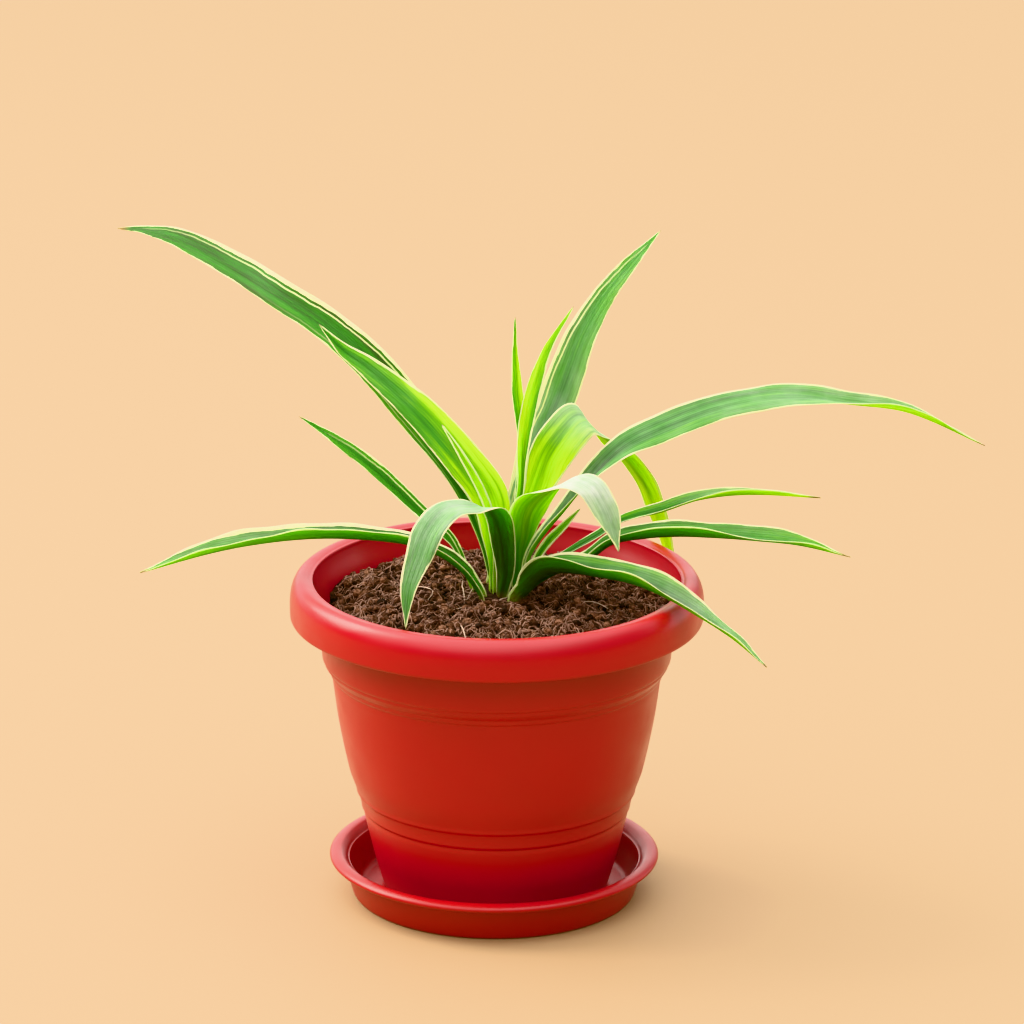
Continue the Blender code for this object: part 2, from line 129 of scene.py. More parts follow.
# Route points run from the crown to the tip: right, back and up from the place on the axis at
# ROUTE_LEVEL. Widths are the flat blade's, fold is how far each half is raised and roll is the turn
# about the midrib. Each of these lists is evenly spaced from the base to the tip, in degrees or mm.
LEAVES = (
    Leaf("leaf_left_long", 0.4,
         (6, 9.5, 18, 18.5, 17, 15.5, 14.5, 10.5, 1),
         (38, 34, 24, 12, 8, 8, 8, 8, 10),
         (0, -8, -25, -42, -46, -46, -42, -38, -30),
         ((-3.5, 11), (-3.5, 11.5, 5), (-8.5, 15, 25), (-21, 22, 52.5), (-37.5, 38, 75), (-60.5, 56, 99.5),
          (-84, 75, 115), (-107, 95, 124), (-126, 118, 129.5), (-158.5, 150, 137), (-176, 165, 137.2),
          (-192, 180, 134))),
    Leaf("leaf_left_broad", 0.8,
         (7, 14, 19.5, 20, 18, 16, 13, 8, 1),
         (38, 34, 22, 12, 8, 8, 8, 8, 10),
         (0, -20, -38, -42, -44, -44, -42, -40, -35),
         ((-3.5, 4), (-3.5, 4.5, 5), (-3, 6, 28), (-4.3, 9.5, 47), (-16.3, 15, 64.3), (-34, 26, 82),
          (-47, 34, 92), (-64, 42, 104), (-76, 48, 111), (-87, 54, 121))),
    Leaf("leaf_left_young", 0,
         (4, 4.5, 5, 5, 4, 1),
         (40, 36, 30, 26, 24, 24),
         (0, -12, -26, -34, -36, -36),
         ((-2, -0.5), (-2, -0.5, 6), (-2, -0.5, 34), (-7.5, 2, 52), (-17.5, 7.5, 69.5), (-27, 14, 83))),
    Leaf("leaf_left_slanted", 0,
         (5, 7, 8, 8.5, 8, 6, 1),
         (38, 30, 16, 12, 12, 14, 16),
         (0, -10, -30, -40, -42, -40, -30),
         ((-12, 3), (-12.5, 3.2, 4), (-17, 4, 15), (-23, 6, 27), (-38, 10, 41), (-61, 16, 61.5),
          (-80, 21, 74), (-96, 26, 83))),
    Leaf("leaf_left_level", 0.3,
         (9, 13, 15, 17, 17.5, 17.5, 17, 12, 1),
         (38, 40, 42, 46, 52, 46, 45, 42, 36),
         (0, 0, 6, 8, 0, -6, -10, -10, -8),
         ((-8, -9), (-8.5, -9, 4), (-11.5, -9, 9), (-17, -8.5, 16), (-27, -7, 23), (-43, -5, 28.5),
          (-74, -1, 30), (-101, 3, 27.5), (-133, 8, 20.5), (-173, 14, 7))),
    Leaf("leaf_front_folded", 0.5,
         (8, 12, 15, 14.5, 17, 18, 17, 13, 8, 1),
         (36, 36, 36, 22, 4, 4, 4, 4, 6, 8),
         (0, 28, 36, 18, -8, -8, -8, -6, -6, -6),
         ((1, -7), (1.3, -7.5, 5), (3.3, -9, 18), (2.4, -12, 33), (-0.5, -15, 45), (-4.5, -18.5, 50.5),
          (-13, -24.5, 54), (-24, -34, 55), (-32, -42, 48), (-37, -50, 37), (-42, -57, 22), (-43, -62, 5))),
    Leaf("leaf_front_arching", 0.8,
         (7, 11, 17, 18.5, 18, 15, 12, 1),
         (36, 28, 18, 8, 4, 4, 6, 8),
         (0, -10, -26, -34, 0, 30, 30, 20),
         ((11, -1), (11, -1, 5), (10.5, -1.5, 16.5), (12.5, -4, 31.5), (15.5, -9.5, 48), (24, -15, 58.5),
          (35, -21, 65.5), (44, -27, 65), (50, -31, 57.5), (54.5, -34, 47.5), (58, -37, 36))),
    Leaf("leaf_front_rim", 0.5,
         (12, 20, 21.5, 22, 23, 21, 17.2, 12.8, 7.2, 1),
         (58, 62, 58, 46, 50, 47, 40, 37, 34, 24),
         (0, -10, -10, 0, 6, 6, 2, -1, -4, -4),
         ((11, -13), (11.5, -13, 4), (15.5, -14, 8), (23, -17, 17), (34, -23, 20.5), (48, -30, 21),
          (65.5, -38, 20), (81, -45, 15.5), (95, -51, 9), (112.5, -60, 0), (128, -68, -11))),
    Leaf("leaf_right_long", 0.3,
         (6, 9, 14, 18, 18, 17.5, 14.5, 9, 1),
         (50, 44, 22, 2, 2, 6, 40, 44, 40),
         (0, 0, 14, 30, 28, 22, 14, 2, 0),
         ((14, 6), (14, 6, 5), (15.5, 5.5, 18), (22, 6, 29.5), (31.5, 9, 40.5), (44, 12, 56),
          (60.5, 18, 71), (79, 24, 79), (107.5, 32, 87.5), (141, 40, 90.5), (170.5, 47, 84.5), (200, 54, 78),
    (238, 62, 59))), Leaf("leaf_right_upper", 0,
         (5, 7, 9, 10, 11, 10.5, 8.5, 5.5, 1),
         (40, 30, 18, 22, 44, 40, 55, 58, 50),
         (0, 0, 0, 0, 16, 8, -6, -10, -10),
         ((16, 2.5), (16.5, 3, 4), (21.5, 4, 10.5), (30, 5.5, 17.5), (37, 7, 22), (49, 10, 28.5),
          (59.5, 13, 34.5), (80, 18, 38.5), (98, 23, 43), (122, 28, 44), (157, 36, 40))),
    Leaf("leaf_right_lower", 0.3,
         (6, 10, 13, 16.5, 17.5, 17, 16, 11, 1),
         (38, 40, 44, 50, 51, 45, 38, 38, 34),
         (0, 0, 0, -2, 0, 5, 14, 5, 0),
         ((14, -6.5), (14.5, -6.5, 4), (20, -6, 9.5), (30, -5.5, 15), (43.5, -5, 20.5), (55.5, -4.5, 29),
          (71.5, -4, 32), (87, -4, 33), (103, -4, 32.5), (120.5, -4, 31.5), (144.5, -4, 29),
    (170, -4, 23))), Leaf("leaf_tall_right", 0.6,
         (7, 8.5, 11.5, 16.5, 18.5, 16, 11.5, 7.5, 1),
         (38, 34, 28, 18, 10, 8, 8, 8, 10),
         (0, 4, 14, 30, 38, 38, 36, 34, 30),
         ((-2, 16), (-1.5, 16.5, 5), (3, 19, 24), (12, 25, 51), (17.5, 29, 68.7), (26, 34, 83.2),
          (33.5, 41, 102), (39.8, 48, 117.7), (50.5, 60, 133.8), (64.5, 75, 147.4), (79, 92, 159))),
    Leaf("leaf_back_broad", 0.6,
         (6, 9, 12, 21, 22, 19, 17, 15.5, 13, 8, 1),
         (38, 34, 26, 10, 4, 8, 16, 16, 12, 10, 10),
         (0, 12, 30, 40, 30, 8, -6, -10, -10, -8, -4),
         ((8, 12), (8.5, 12, 5), (12.5, 12, 30), (20.5, 12, 54), (25, 13, 67), (32, 16, 77.2),
          (40, 22, 83.4), (46.5, 31, 76), (54, 40, 65.5), (64.5, 50, 52), (72.5, 61, 36.5), (79, 70, 17.5),
          (84, 76, 0), (87, 79, -22))),
    Leaf("leaf_upright_slim", 0,
         (3.5, 4, 4, 4, 4.5, 6, 3.5, 1),
         (45, 40, 35, 30, 26, 20, 20, 20),
         (0, 10, 25, 35, 38, 38, 38, 38),
         ((3.5, 6), (4.8, 6.8, 8), (9.5, 9, 45), (11.2, 10.5, 75), (10.5, 11, 87), (9, 12.5, 102),
          (8, 13, 119), (8, 14, 137))),
    Leaf("leaf_upright_young", 0,
         (4, 6, 7, 7.5, 8.5, 7.5, 4, 1),
         (50, 58, 62, 58, 28, 14, 14, 14),
         (0, 20, 38, 40, 40, 40, 38, 34),
         ((5.5, 2), (6, 2, 8), (9.5, 3.5, 32), (12, 5, 57), (12.5, 6, 71), (14, 8, 86), (17.5, 11, 103),
          (24, 16, 121), (36, 23, 140))),
    Leaf("leaf_short_pointed", 0,
         (3.5, 5, 5.5, 4.5, 1),
         (40, 34, 26, 22, 20),
         (0, 20, 34, 36, 36),
         ((13, 10.5), (14, 10.5, 4), (18.5, 10.5, 14.5), (24, 12, 23.5), (33, 17, 32), (40, 23, 38))),
)


class Look(NamedTuple):
    """How one leaf is coloured. The minus half is right of its way out from the crown, the plus half left.

    Every list is evenly spaced from the base to the tip. Tones are given at the minus margin, the midrib
    and the plus margin of the upper face, and for the back: -1 is dark olive, 0 the plain green and 1 a
    bright yellow-green. The tones carry painted shade and painted light as well as the blade's own
    colour: a stretch or half of a blade in shade has a darker tone, and one that faces the light or glows
    with light through it a brighter one. Pale is the silvery wax on the upper face, and painted sheen
    where a crest or bend faces the light. Widths of the cream margins are in mm, minus and plus, and lines
    are the strengths of the thin cream lines inside them. Ripple is how far the margins wave, in mm, and
    dry the share of the tip gone brown.
    """
    minus: tuple
    midrib: tuple
    plus: tuple
    back: tuple
    pale: tuple
    margins: tuple
    lines: tuple = ((0, 0), (0, 0))
    ripple: float = 0.25
    dry: float = 0.008


# Tones and pale below hold painted shade and painted highlight as well as each blade's own colour.
LOOKS = {
    "leaf_left_long": Look(
        (-0.4, -0.6, -0.9, -0.8, -0.7, -0.5), (-0.1, -0.2, -0.4, -0.55, -0.6, -0.6),
        (0, -0.1, -0.3, -0.55, -0.6, -0.6), (0, 0.1, 0.1, 0, 0), (0, 0, 0.05, 0.05, 0, 0),
        ((0.9, 1.0, 1.2, 2.0, 2.2, 1.1, 0.2), (0.8, 0.6, 0.5, 0.4, 0.4, 0.4, 0.1)),
        ((0, 0.4, 0.7, 0.8, 0.4, 0), (0.3, 0.3, 0, 0)), 0.3, 0.02),
    "leaf_left_broad": Look(
        (1.0, 1.0, 1.0, 0.7, 0.3, 0.1), (0.9, 0.9, 0.5, 0, -0.15, -0.1), (0.9, 1.0, 0.6, 0, -0.15, -0.1),
        (0.6, 0.6, 0.3, 0, 0), (0, 0, 0.1, 0.2, 0.1),
        ((0.2, 0.4, 0.6, 0.8, 1.1, 0.6), (0.3, 0.8, 0.6, 0.5, 0.4, 0.3)), ripple=0.35),
    "leaf_left_young": Look(
        (0.8, 0.9, 0.9, 0.7, 0.5), (0.5, 0.8, 0.8, 0.5, 0.4), (0.7, 0.9, 0.8, 0.6, 0.4),
        (0.6, 0.6, 0.4, 0.3), (0, 0), ((0.2, 0.6, 0.9, 0.5), (0.2, 0.6, 0.9, 0.5)), ripple=0.1),
    "leaf_left_slanted": Look(
        (-0.3, -0.4, -0.4, -0.3, -0.2), (-0.1, -0.2, -0.25, -0.3, -0.3), (-0.2, -0.25, -0.25, -0.3, -0.3),
        (0.4, 0.2, 0, 0), (0, 0.05, 0.05, 0), ((0.3, 0.6, 0.6, 0.25), (0.3, 0.5, 0.4, 0.15)),
        ((0.5, 0.8, 0.5, 0), (0, 0)), 0.15, 0.015),
    "leaf_left_level": Look(
        (-0.5, -0.6, -0.6, -0.5, -0.1), (-0.4, -0.3, -0.4, -0.2, 0.1), (-0.3, -0.2, -0.2, -0.1, 0.1),
        (-0.5, -0.2, 0, 0.2, 0.6), (0, 0.1, 0.4, 0.5, 0.4),
        ((0.7, 1.1, 2.0, 2.4, 1.5, 0.4), (0.6, 0.7, 0.8, 0.7, 0.6, 0.3)), ripple=0.45, dry=0.02),
    "leaf_front_folded": Look(
        (0, 0, 0, -0.2, -0.3, -0.3, -0.2), (-0.1, 0.1, 0, -0.2, -0.3, -0.3, -0.2),
        (-0.1, 0.1, 0, -0.2, -0.3, -0.3, -0.2), (-0.9, -0.95, -0.7, 0.25, 0.3, 0.2, 0.2, 0.2),
        (0, 0.3, 0.8, 1.2, 0.7, 0.5, 0.4),
        ((0.8, 0.7, 0.7, 1.0, 0.9, 0.8, 0.4), (0.7, 0.7, 0.8, 0.7, 0.6, 0.6, 0.4)), ripple=0.4),
    "leaf_front_arching": Look(
        (0.6, 0.7, 0.4, 0, 0.1), (0.6, 0.7, 0.4, 0, 0.1), (0.6, 0.7, 0.4, 0, 0.1),
        (-0.4, 0.1, 0.6, 0.6, 0.4, 0.2), (0, 0.4, 1.6, 2.8, 2.6, 1.6, 0.8),
        ((0.6, 0.8, 1.0, 0.7, 0.6, 0.5, 0.4), (0.6, 0.7, 0.7, 0.7, 0.7, 0.6, 0.4)), ripple=0.5),
    "leaf_front_rim": Look(
        (-0.3, -0.1, -0.1, 0, 0.1), (-0.3, -0.8, -0.9, -0.5, 0), (-0.3, 0, 0.1, 0.1, 0.2),
        (-1.0, -0.9, -0.3, 0.3, 0.4, 0.4), (0.1, 0.3, 0.4, 0.8, 0.8, 0.5),
        ((0.9, 0.9, 0.9, 0.8, 0.6, 0.3), (0.9, 1.0, 1.1, 1.0, 0.7, 0.3)), ripple=0.55, dry=0.015),
    "leaf_right_long": Look(
        (-0.2, -0.2, 0, -0.1, 0, 0.1), (-0.5, -0.6, -0.4, -0.1, 0, 0.1), (-0.4, -0.5, -0.4, -0.2, 0, 0),
        (0.1, 0.4, 0.5, 0.6, 0.8, 0.8), (0.6, 0.5, 0.4, 0.6, 0.9, 0.7),
        ((0.5, 0.6, 0.6, 0.6, 0.5, 0.3), (0.9, 1.2, 1.3, 0.9, 0.7, 0.3)), ripple=0.3, dry=0.015),
    "leaf_right_upper": Look(
        (-0.2, -0.1, 0, 0.2, 0.4), (-0.4, -0.3, -0.1, 0.1, 0.4), (-0.2, -0.1, 0, 0.2, 0.4),
        (-0.6, -0.2, 0.4, 0.7, 0.8), (0.1, 0.1, 0.3, 0.9, 0.3),
        ((0.2, 0.3, 0.5, 0.5, 0.2), (0.2, 0.3, 0.5, 0.5, 0.2)), ripple=0.2, dry=0.04),
    "leaf_right_lower": Look(
        (-0.2, -0.1, -0.1, 0, 0.3), (-0.5, -0.5, -0.5, -0.2, 0.3), (-0.4, -0.3, -0.2, -0.1, 0.3),
        (-0.9, -0.8, -0.7, -0.3, 0.2, 0.7), (0.1, 0.2, 0.3, 0.4, 0.1),
        ((0.7, 0.8, 0.7, 0.7, 0.5, 0.3), (0.6, 0.6, 0.6, 0.6, 0.5, 0.3)), ripple=0.4, dry=0.03),
    "leaf_tall_right": Look(
        (-0.2, -0.1, -0.2, -0.1, 0), (-0.1, 0, -0.1, 0, 0.1), (0, -0.1, -0.3, -0.2, 0),
        (0.3, 0.3, 0.1, 0, 0), (0.5, 1.3, 1.0, 0.4, 0.4, 0.3),
        ((0.6, 0.7, 0.7, 0.6, 0.5, 0.3), (0.9, 1.7, 1.9, 1.5, 0.9, 0.3)),
        ((0, 0), (0.2, 0.9, 0.9, 0.7, 0.2)), 0.35),
    "leaf_back_broad": Look(
        (1.0, 1.0, 1.0, 0.6, 0.1, 0, 0, 0), (1.0, 1.0, 0.9, 0.4, 0, 0, 0, 0),
        (0.8, 0.8, 0.7, 0.2, 0, 0, 0, 0), (0.4, 0.3, 0.6, 0.9, 1.0, 1.0),
        (0, 0, 0, 0, 0.9, 1.5, 0.6, 0.5, 0.4, 0.3, 0.2),
        ((0.6, 0.8, 0.8, 0.9, 1.6, 1.5), (0.5, 0.6, 0.7, 0.7, 1.0, 0.9)), ripple=0.35),
    "leaf_upright_slim": Look(
        (0.4, 0.5, 0.8, 0.9, 0.8, 0.6), (-0.1, -0.1, 0.3, 0.5, 0.5, 0.4),
        (-0.6, -0.5, -0.4, -0.3, 0.1, 0.3), (-0.5, -0.4, 0, 0.4), (0, 0),
        ((0.4, 0.4, 0.3), (0.4, 0.4, 0.2)), ripple=0.05),
    "leaf_upright_young": Look(
        (-0.3, 0.1, 0.3, 0.3, 0.4), (-0.3, 0, 0.6, 0.75, 0.6), (-0.2, 0.3, 0.75, 0.85, 0.7),
        (-0.3, 0.1, 0.3, 0.2, 0.2), (0, 0), ((0.6, 0.7, 0.8, 0.3), (0.4, 0.4, 0.4, 0.2)), ripple=0.15),
    "leaf_short_pointed": Look(
        (-0.1, 0.3, 0.5, 0.6), (-0.4, -0.2, 0.2, 0.5), (-0.1, 0.3, 0.5, 0.6), (0, 0.3, 0.4, 0.4),
        (0, 0.1, 0), ((0.8, 0.9, 0.8, 0.3), (0.8, 0.9, 0.8, 0.3)), ripple=0.1, dry=0.02),
}


def linear(code):
    """An sRGB hex colour as linear red, green and blue."""
    parts = [int(code[start:start + 2], 16) / 255 for start in (0, 2, 4)]
    return tuple(part / 12.92 if part <= 0.04045 else ((part + 0.055) / 1.055) ** 2.4 for part in parts)


def colour_property(name, description, code):
    """A colour that a user can change."""
    return FloatVectorProperty(name=name, description=description, subtype="COLOR", size=3, min=0, max=1,
                               default=linear(code))


class PLANT_PG_pot(bpy.types.PropertyGroup):
    """Looks and fineness of the pot and the saucer"""
    red: colour_property("Plastic", "Colour of the moulded plastic", "A0041C")
    # The saucer's red is partly its own browner colour and partly painted: a warm tint for the floor's
    # reflection.
    saucer_red: colour_property("Saucer red", "Colour of the saucer, browner than the pot", "961010")
    deep_red: colour_property("Plastic, deep", "Colour where the plastic is thickest", "920417")
    roughness: FloatProperty(name="Roughness", description="How matt the plastic is", default=0.33,
                             min=0, max=1, subtype="FACTOR")
    sides: IntProperty(name="Sides", description="Faces round the pot and the saucer", default=240,
                       min=48, max=512)


class PLANT_PG_soil(bpy.types.PropertyGroup):
    """Colours of the soil, its fibres and the crown, and how much lies loose"""
    # The pits' colour stands for damp soil and for painted shade between the crumbs.
    dark: colour_property("Soil, pits", "Colour of the damp soil between the crumbs", "0D0805")
    damp: colour_property("Soil, damp", "Colour half way up the crumbs", "4A3226")
    crumb: colour_property("Soil, crumbs", "Colour of the dry crumbs", "8C6855")
    fibre_dark: colour_property("Fibre, dark", "Colour of the darkest coir fibres", "483028")
    fibre_light: colour_property("Fibre, light", "Colour of the palest coir fibres", "A38171")
    hair: colour_property("Root hair", "Colour of the stray roots on the soil", "B29B8B")
    film: colour_property("Crown, film", "Colour of the soil on the crown", "2A1A10")
    tissue: colour_property("Crown, tissue", "Colour of the crown's pale tissue", "8C8A52")
    fibres: IntProperty(name="Fibres", description="How many coir fibres lie on the soil", default=3600,
                        min=0, max=6000)
    crumbs: IntProperty(name="Crumbs", description="How many loose crumbs lie on the soil", default=1500,
                        min=0, max=6000)


class PLANT_PG_leaves(bpy.types.PropertyGroup):
    """Colours and thickness of the leaves"""
    olive: colour_property("Olive", "The shaded backs of the blades near the crown", "1F2F0B")
    deep: colour_property("Deep green", "The darker bands of a blade", "235B14")
    green: colour_property("Green", "The plain green of a blade", "35751D")
    lively: colour_property("Lively green", "Half way to the young yellow-green", "5F970F")
    # Yellow-green is young tissue, and also painted light where a blade glows with light through it.
    bright: colour_property("Yellow-green", "Young tissue near the crown", "A2D40A")
    # The silvery wax, and painted sheen: this colour also pales the crests that face the light.
    bloom_and_sheen: colour_property("Bloom", "The silvery wax on the upper face", "B0BAB0")
    cream: colour_property("Cream", "The margins of the blades", "C6CC9A")
    dry: colour_property("Dry", "Tips and scars gone brown", "684A2C")
    edge_half: FloatProperty(name="Edge", description="Half the blade's thickness at its margin, in mm",
                             default=0.13, min=0.05, max=1)
    keel_half: FloatProperty(name="Keel", description="Half the blade's thickness at its midrib, in mm",
                             default=0.34, min=0.05, max=2)


class PLANT_PG_stage(bpy.types.PropertyGroup):
    """Colours and strengths of the floor and the light"""
    floor: colour_property("Floor", "Colour of the plain pale floor", "A58B6A")
    sky: colour_property("Sky", "Colour of the soft light all round", "FFF9F1")
    low_sky: FloatProperty(name="Low sky", description="Strength of the light all round", default=0.3, min=0)
    top_sky: FloatProperty(name="Top sky", description="Strength of the light overhead", default=3.9, min=0)
    back_sky: FloatProperty(name="Back sky", description="Strength of the light from low behind",
                            default=2.1, min=0)
    key_power: FloatProperty(name="Key", description="Power of the large lamp at the left", default=74,
                             min=0, unit="POWER")
    side_power: FloatProperty(name="Side", description="Power of the weak lamp at the right", default=10,
                              min=0, unit="POWER")


def set_inputs(node, inputs):
    """Give a shader node's inputs their links or values."""
    for socket, value in inputs.items():
        if isinstance(value, bpy.types.NodeSocket):
            node.id_data.links.new(value, node.inputs[socket])
        else:
            node.inputs[socket].default_value = value


def add(tree, kind, inputs=None, out=0, stops=None, **settings):
    """Add a shader node with its settings and its links or values, and give one of its outputs."""
    node = tree.nodes.new("ShaderNode" + kind)
    for name, value in settings.items():
        setattr(node, name, value)
    set_inputs(node, inputs or {})
    if stops:
        ramp = node.color_ramp
        while len(ramp.elements) < len(stops):
            ramp.elements.new(1.0)
        for element, (place, colour) in zip(ramp.elements, stops):
            element.position = place
            element.color = (*colour, 1.0)
    return node.outputs[out]


def start_material(name, **values):
    """A new material with a Principled shader, set to the given values, and its node tree."""
    material = bpy.data.materials.new(name)
    material.use_nodes = True
    shader = material.node_tree.nodes["Principled BSDF"]
    set_inputs(shader, {socket.replace("_", " "): value for socket, value in values.items()})
    return material, material.node_tree, shader


def moulded_plastic(name, settings, red, reflection):
    """Injection-moulded polypropylene: a satin skin, faintly uneven in gloss and in depth of red."""
    material, tree, shader = start_material(name, IOR=1.49, Specular_IOR_Level=reflection)
    place = add(tree, "TexCoord", out="Object")
    # Flow marks a few centimetres across change the colour a little where the wall is thicker.
    flow = add(tree, "TexNoise", {"Vector": place, "Scale": 18.0, "Detail": 3.0})
    colour = add(tree, "Mix", {0: flow, 6: (*red, 1), 7: (*settings.deep_red, 1)}, out=2, data_type="RGBA")
    # The mould's spark-eroded texture is about 0.4 mm, and handling polishes patches of it.
    grain = add(tree, "TexNoise", {"Vector": place, "Scale": 2400.0, "Detail": 2.0})
    patches = add(tree, "TexNoise", {"Vector": place, "Scale": 55.0, "Detail": 4.0})
    gloss = add(tree, "MapRange", {0: patches, 1: 0.3, 2: 0.7, 3: settings.roughness - GLOSSIER,
                                   4: settings.roughness + DULLER})
    bump = add(tree, "Bump", {"Height": grain, "Strength": 0.12, "Distance": 0.0001})
    set_inputs(shader, {"Base Color": colour, "Roughness": gloss, "Normal": bump})
    return material


def show(name, data):
    """A new object in the scene, with the given mesh, lamp or camera as its data."""
    shown = bpy.data.objects.new(name, data)
    bpy.context.scene.collection.objects.link(shown)
    return shown


def curve_through(points, spacing):
    """Points on a smooth curve through every given point, and about the given spacing apart."""
    points = [Vector(point) for point in points]
    ends = [2 * points[0] - points[1]] + points + [2 * points[-1] - points[-2]]
    found = []
    for before, start, end, after in zip(ends, ends[1:], ends[2:], ends[3:]):
        span = (end - start).length
        leave = (end - before).normalized() * span
        arrive = (after - start).normalized() * span
        steps = max(2, math.ceil(span / spacing))
        for step in range(steps):
            t = step / steps
            found.append((2 * t ** 3 - 3 * t ** 2 + 1) * start + (t ** 3 - 2 * t ** 2 + t) * leave
                         + (3 * t ** 2 - 2 * t ** 3) * end + (t ** 3 - t ** 2) * arrive)
    return found + [points[-1].copy()]


def along(values, t):
    """A value from an evenly spaced list, smoothly, at the share t of the way along."""
    spot = t * (len(values) - 1)
    index = min(int(spot), len(values) - 2)
    rest = spot - index
    last = len(values) - 1
    before, start, end, after = (values[min(max(index + step, 0), last)] for step in (-1, 0, 1, 2))
    return start + 0.5 * rest * (end - before + rest * (2 * before - 5 * start + 4 * end - after
                                                        + rest * (3 * start - before - 3 * end + after)))


def ease(low, high, value):
    """0 below low, 1 above high and a smooth step between, for numbers and arrays."""
    share = np.clip((np.asarray(value, float) - low) / (high - low), 0, 1)
    return share * share * (3 - 2 * share)


def make_piece(name, places, faces, material, attributes, replaced=()):
    """A smooth mesh piece, from places in millimetres, that rides on the part and carries attributes."""
    mesh = bpy.data.meshes.new(name)
    mesh.from_pydata((np.asarray(places, float) * MM).tolist(), [], faces)
    mesh.shade_smooth()
    for key, values in attributes.items():
        values = np.asarray(values, np.float32)
        kind, field = ("FLOAT", "value") if values.ndim == 1 else ("FLOAT_VECTOR", "vector")
        mesh.attributes.new(key, kind, "POINT").data.foreach_set(field, values.ravel())
    mesh.materials.append(material)
    piece = show(name, mesh)
    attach(piece, "root")
    if replaced:
        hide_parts(*replaced)


def run(knots, spacing):
    """A smooth stretch of a section, from its (radius, height) knots."""
    return [tuple(point) for point in curve_through(knots, spacing)]


def groove(height, radius):
    """The section of a fine ring pressed into the leaning wall, going up."""
    rises = [(out * GROOVE_DEPTH, up * GROOVE_HALF_WIDTH) for out, up in GROOVE_PROFILE]
    return [(radius + out + WALL_LEAN * up, height + up) for out, up in rises]


def pot_section():
    """The pot's section, from the foot up the outside, over the rim and down the inside to the floor."""
    shoulder_top, shoulder_foot, low_upper, low_lower = (groove(*ring) for ring in RING_GROOVES)
    foot = [(FOOT_RADIUS - 5, FOOT_UNDERSIDE), (FOOT_RADIUS - 1.4, FOOT_UNDERSIDE),
            (FOOT_RADIUS - 0.5, FOOT_UNDERSIDE + 0.1), (FOOT_RADIUS + 0.1, FOOT_UNDERSIDE + 0.5)]
    outer = foot + run([(54.0, 3.6), (54.9, 5.2), (60.4, 25), (64.6, 43.0)], 2.5) + low_lower + low_upper
    outer += run([(68.5, 55.9), (71.6, 65), (76.7, 90), (79.6, 111.2)], 2.5) + shoulder_foot
    # Between the upper rings the wall steps out in one soft shoulder.
    outer += run([(81.3, 115.9), (82.3, 117.2), (83.5, 119.1)], 1.0) + shoulder_top
    outer += run([(84.7, 123.9), (84.8, 126.0), (BODY_TOP_RADIUS + 0.1, SKIRT_BOTTOM)], 3.0)
    under_rim = run([(87.4, 149.5), (89.9, 155.6), (92.4, 158.2), (95.0, 158.0), (97.0, 155.6),
                     (97.8, 151.0), (97.7, SKIRT_BOTTOM + 0.5)], 1.2)
    under_rim += [(98.1, SKIRT_BOTTOM + 0.1), (98.9, SKIRT_BOTTOM)]
    over_rim = run([(99.5, SKIRT_BOTTOM + 0.2), (RIM_RADIUS - 0.1, SKIRT_BOTTOM + 1.0), (RIM_RADIUS, 144.5),
                    (RIM_RADIUS, 149.6), (99.4, 154.3), (98.0, 157.7), (96.2, 159.8), (94.0, RIM_TOP),
                    (91.6, 160.4), (90.0, 159.9)], 0.8)
    # A crisp little bead closes the rim inside.
    over_rim += [(89.6, 159.95), (89.2, 159.9), (88.9, 159.6), (88.8, 159.1), (88.75, 158.4)]
    inside = run([(88.6, 157.8), (87.4, 154.0), (85.5, 149.5), (82.9, SKIRT_BOTTOM), (82.5, 125.0),
                  (81.6, 120.0), (77.6, 111.0), (74.4, 90.0), (69.2, 65.0), (62.8, 44.0), (58.0, 25.0),
                  (52.6, 8.0)], 3.0)
    floor = [(51.2, FLOOR_TOP), (MIDDLE_DRAIN_RADIUS, FLOOR_TOP), (MIDDLE_DRAIN_RADIUS, FLOOR_UNDERSIDE),
             (FOOT_RADIUS - 6, FLOOR_UNDERSIDE)]
    return outer + under_rim + over_rim + inside + floor


def saucer_section():
    """The saucer's section, from the middle of its underside round the lip to the middle of its floor."""
    base, lip, top = SAUCER_BASE_RADIUS, SAUCER_RADIUS, SAUCER_HEIGHT
    underside = [(0, 0), (40, 0), (base - 2, 0), (base, 0.1), (base + 0.8, 0.4), (base + 1.4, 1.1)]
    side = run([(base + 1.7, 1.9), (71.1, 8.0), (73.0, 16.2), (73.6, 17.4), (75.0, 17.9)], 1.5)
    rolled_lip = run([(77.6, 17.5), (79.0, 17.6), (lip - 0.1, 18.4), (lip, 19.1), (lip - 0.5, 20.0),
                      (lip - 1.8, 20.9), (lip - 3.6, top), (lip - 5.6, top - 0.3),
                      (lip - 7.0, top - 1.3)], 0.6)
    inside = run([(72.2, 19.0), (71.7, 18.2)], 0.5) + [(71.4, 17.7), (71.0, 17.45), (70.7, 17.4)]
    inside += run([(70.4, 16.8), (68.6, 11.0), (66.6, 5.0), (65.2, 2.9), (63.0, SAUCER_FLOOR)], 1.2)
    return underside + side + rolled_lip + inside + [(40, SAUCER_FLOOR), (0, SAUCER_FLOOR)]


def lathe(name, section, sides, closed, material):
    """Turn a section of (radius, height) points about Z into a smooth closed mesh object."""
    shape = bmesh.new()
    corners = [shape.verts.new((radius * MM, 0.0, height * MM)) for radius, height in section]
    pairs = list(zip(corners, corners[1:])) + ([(corners[-1], corners[0])] if closed else [])
    edges = [shape.edges.new(pair) for pair in pairs]
    bmesh.ops.spin(shape, geom=corners + edges, cent=(0, 0, 0), axis=(0, 0, 1), angle=math.tau, steps=sides,
                   use_merge=True)
    bmesh.ops.remove_doubles(shape, verts=shape.verts, dist=1e-6)
    bmesh.ops.recalc_face_normals(shape, faces=shape.faces)
    mesh = bpy.data.meshes.new(name)
    shape.to_mesh(mesh)
    shape.free()
    mesh.shade_smooth()
    mesh.set_sharp_from_angle(angle=math.radians(SHARP_TURN))
    mesh.materials.append(material)
    return show(name, mesh)


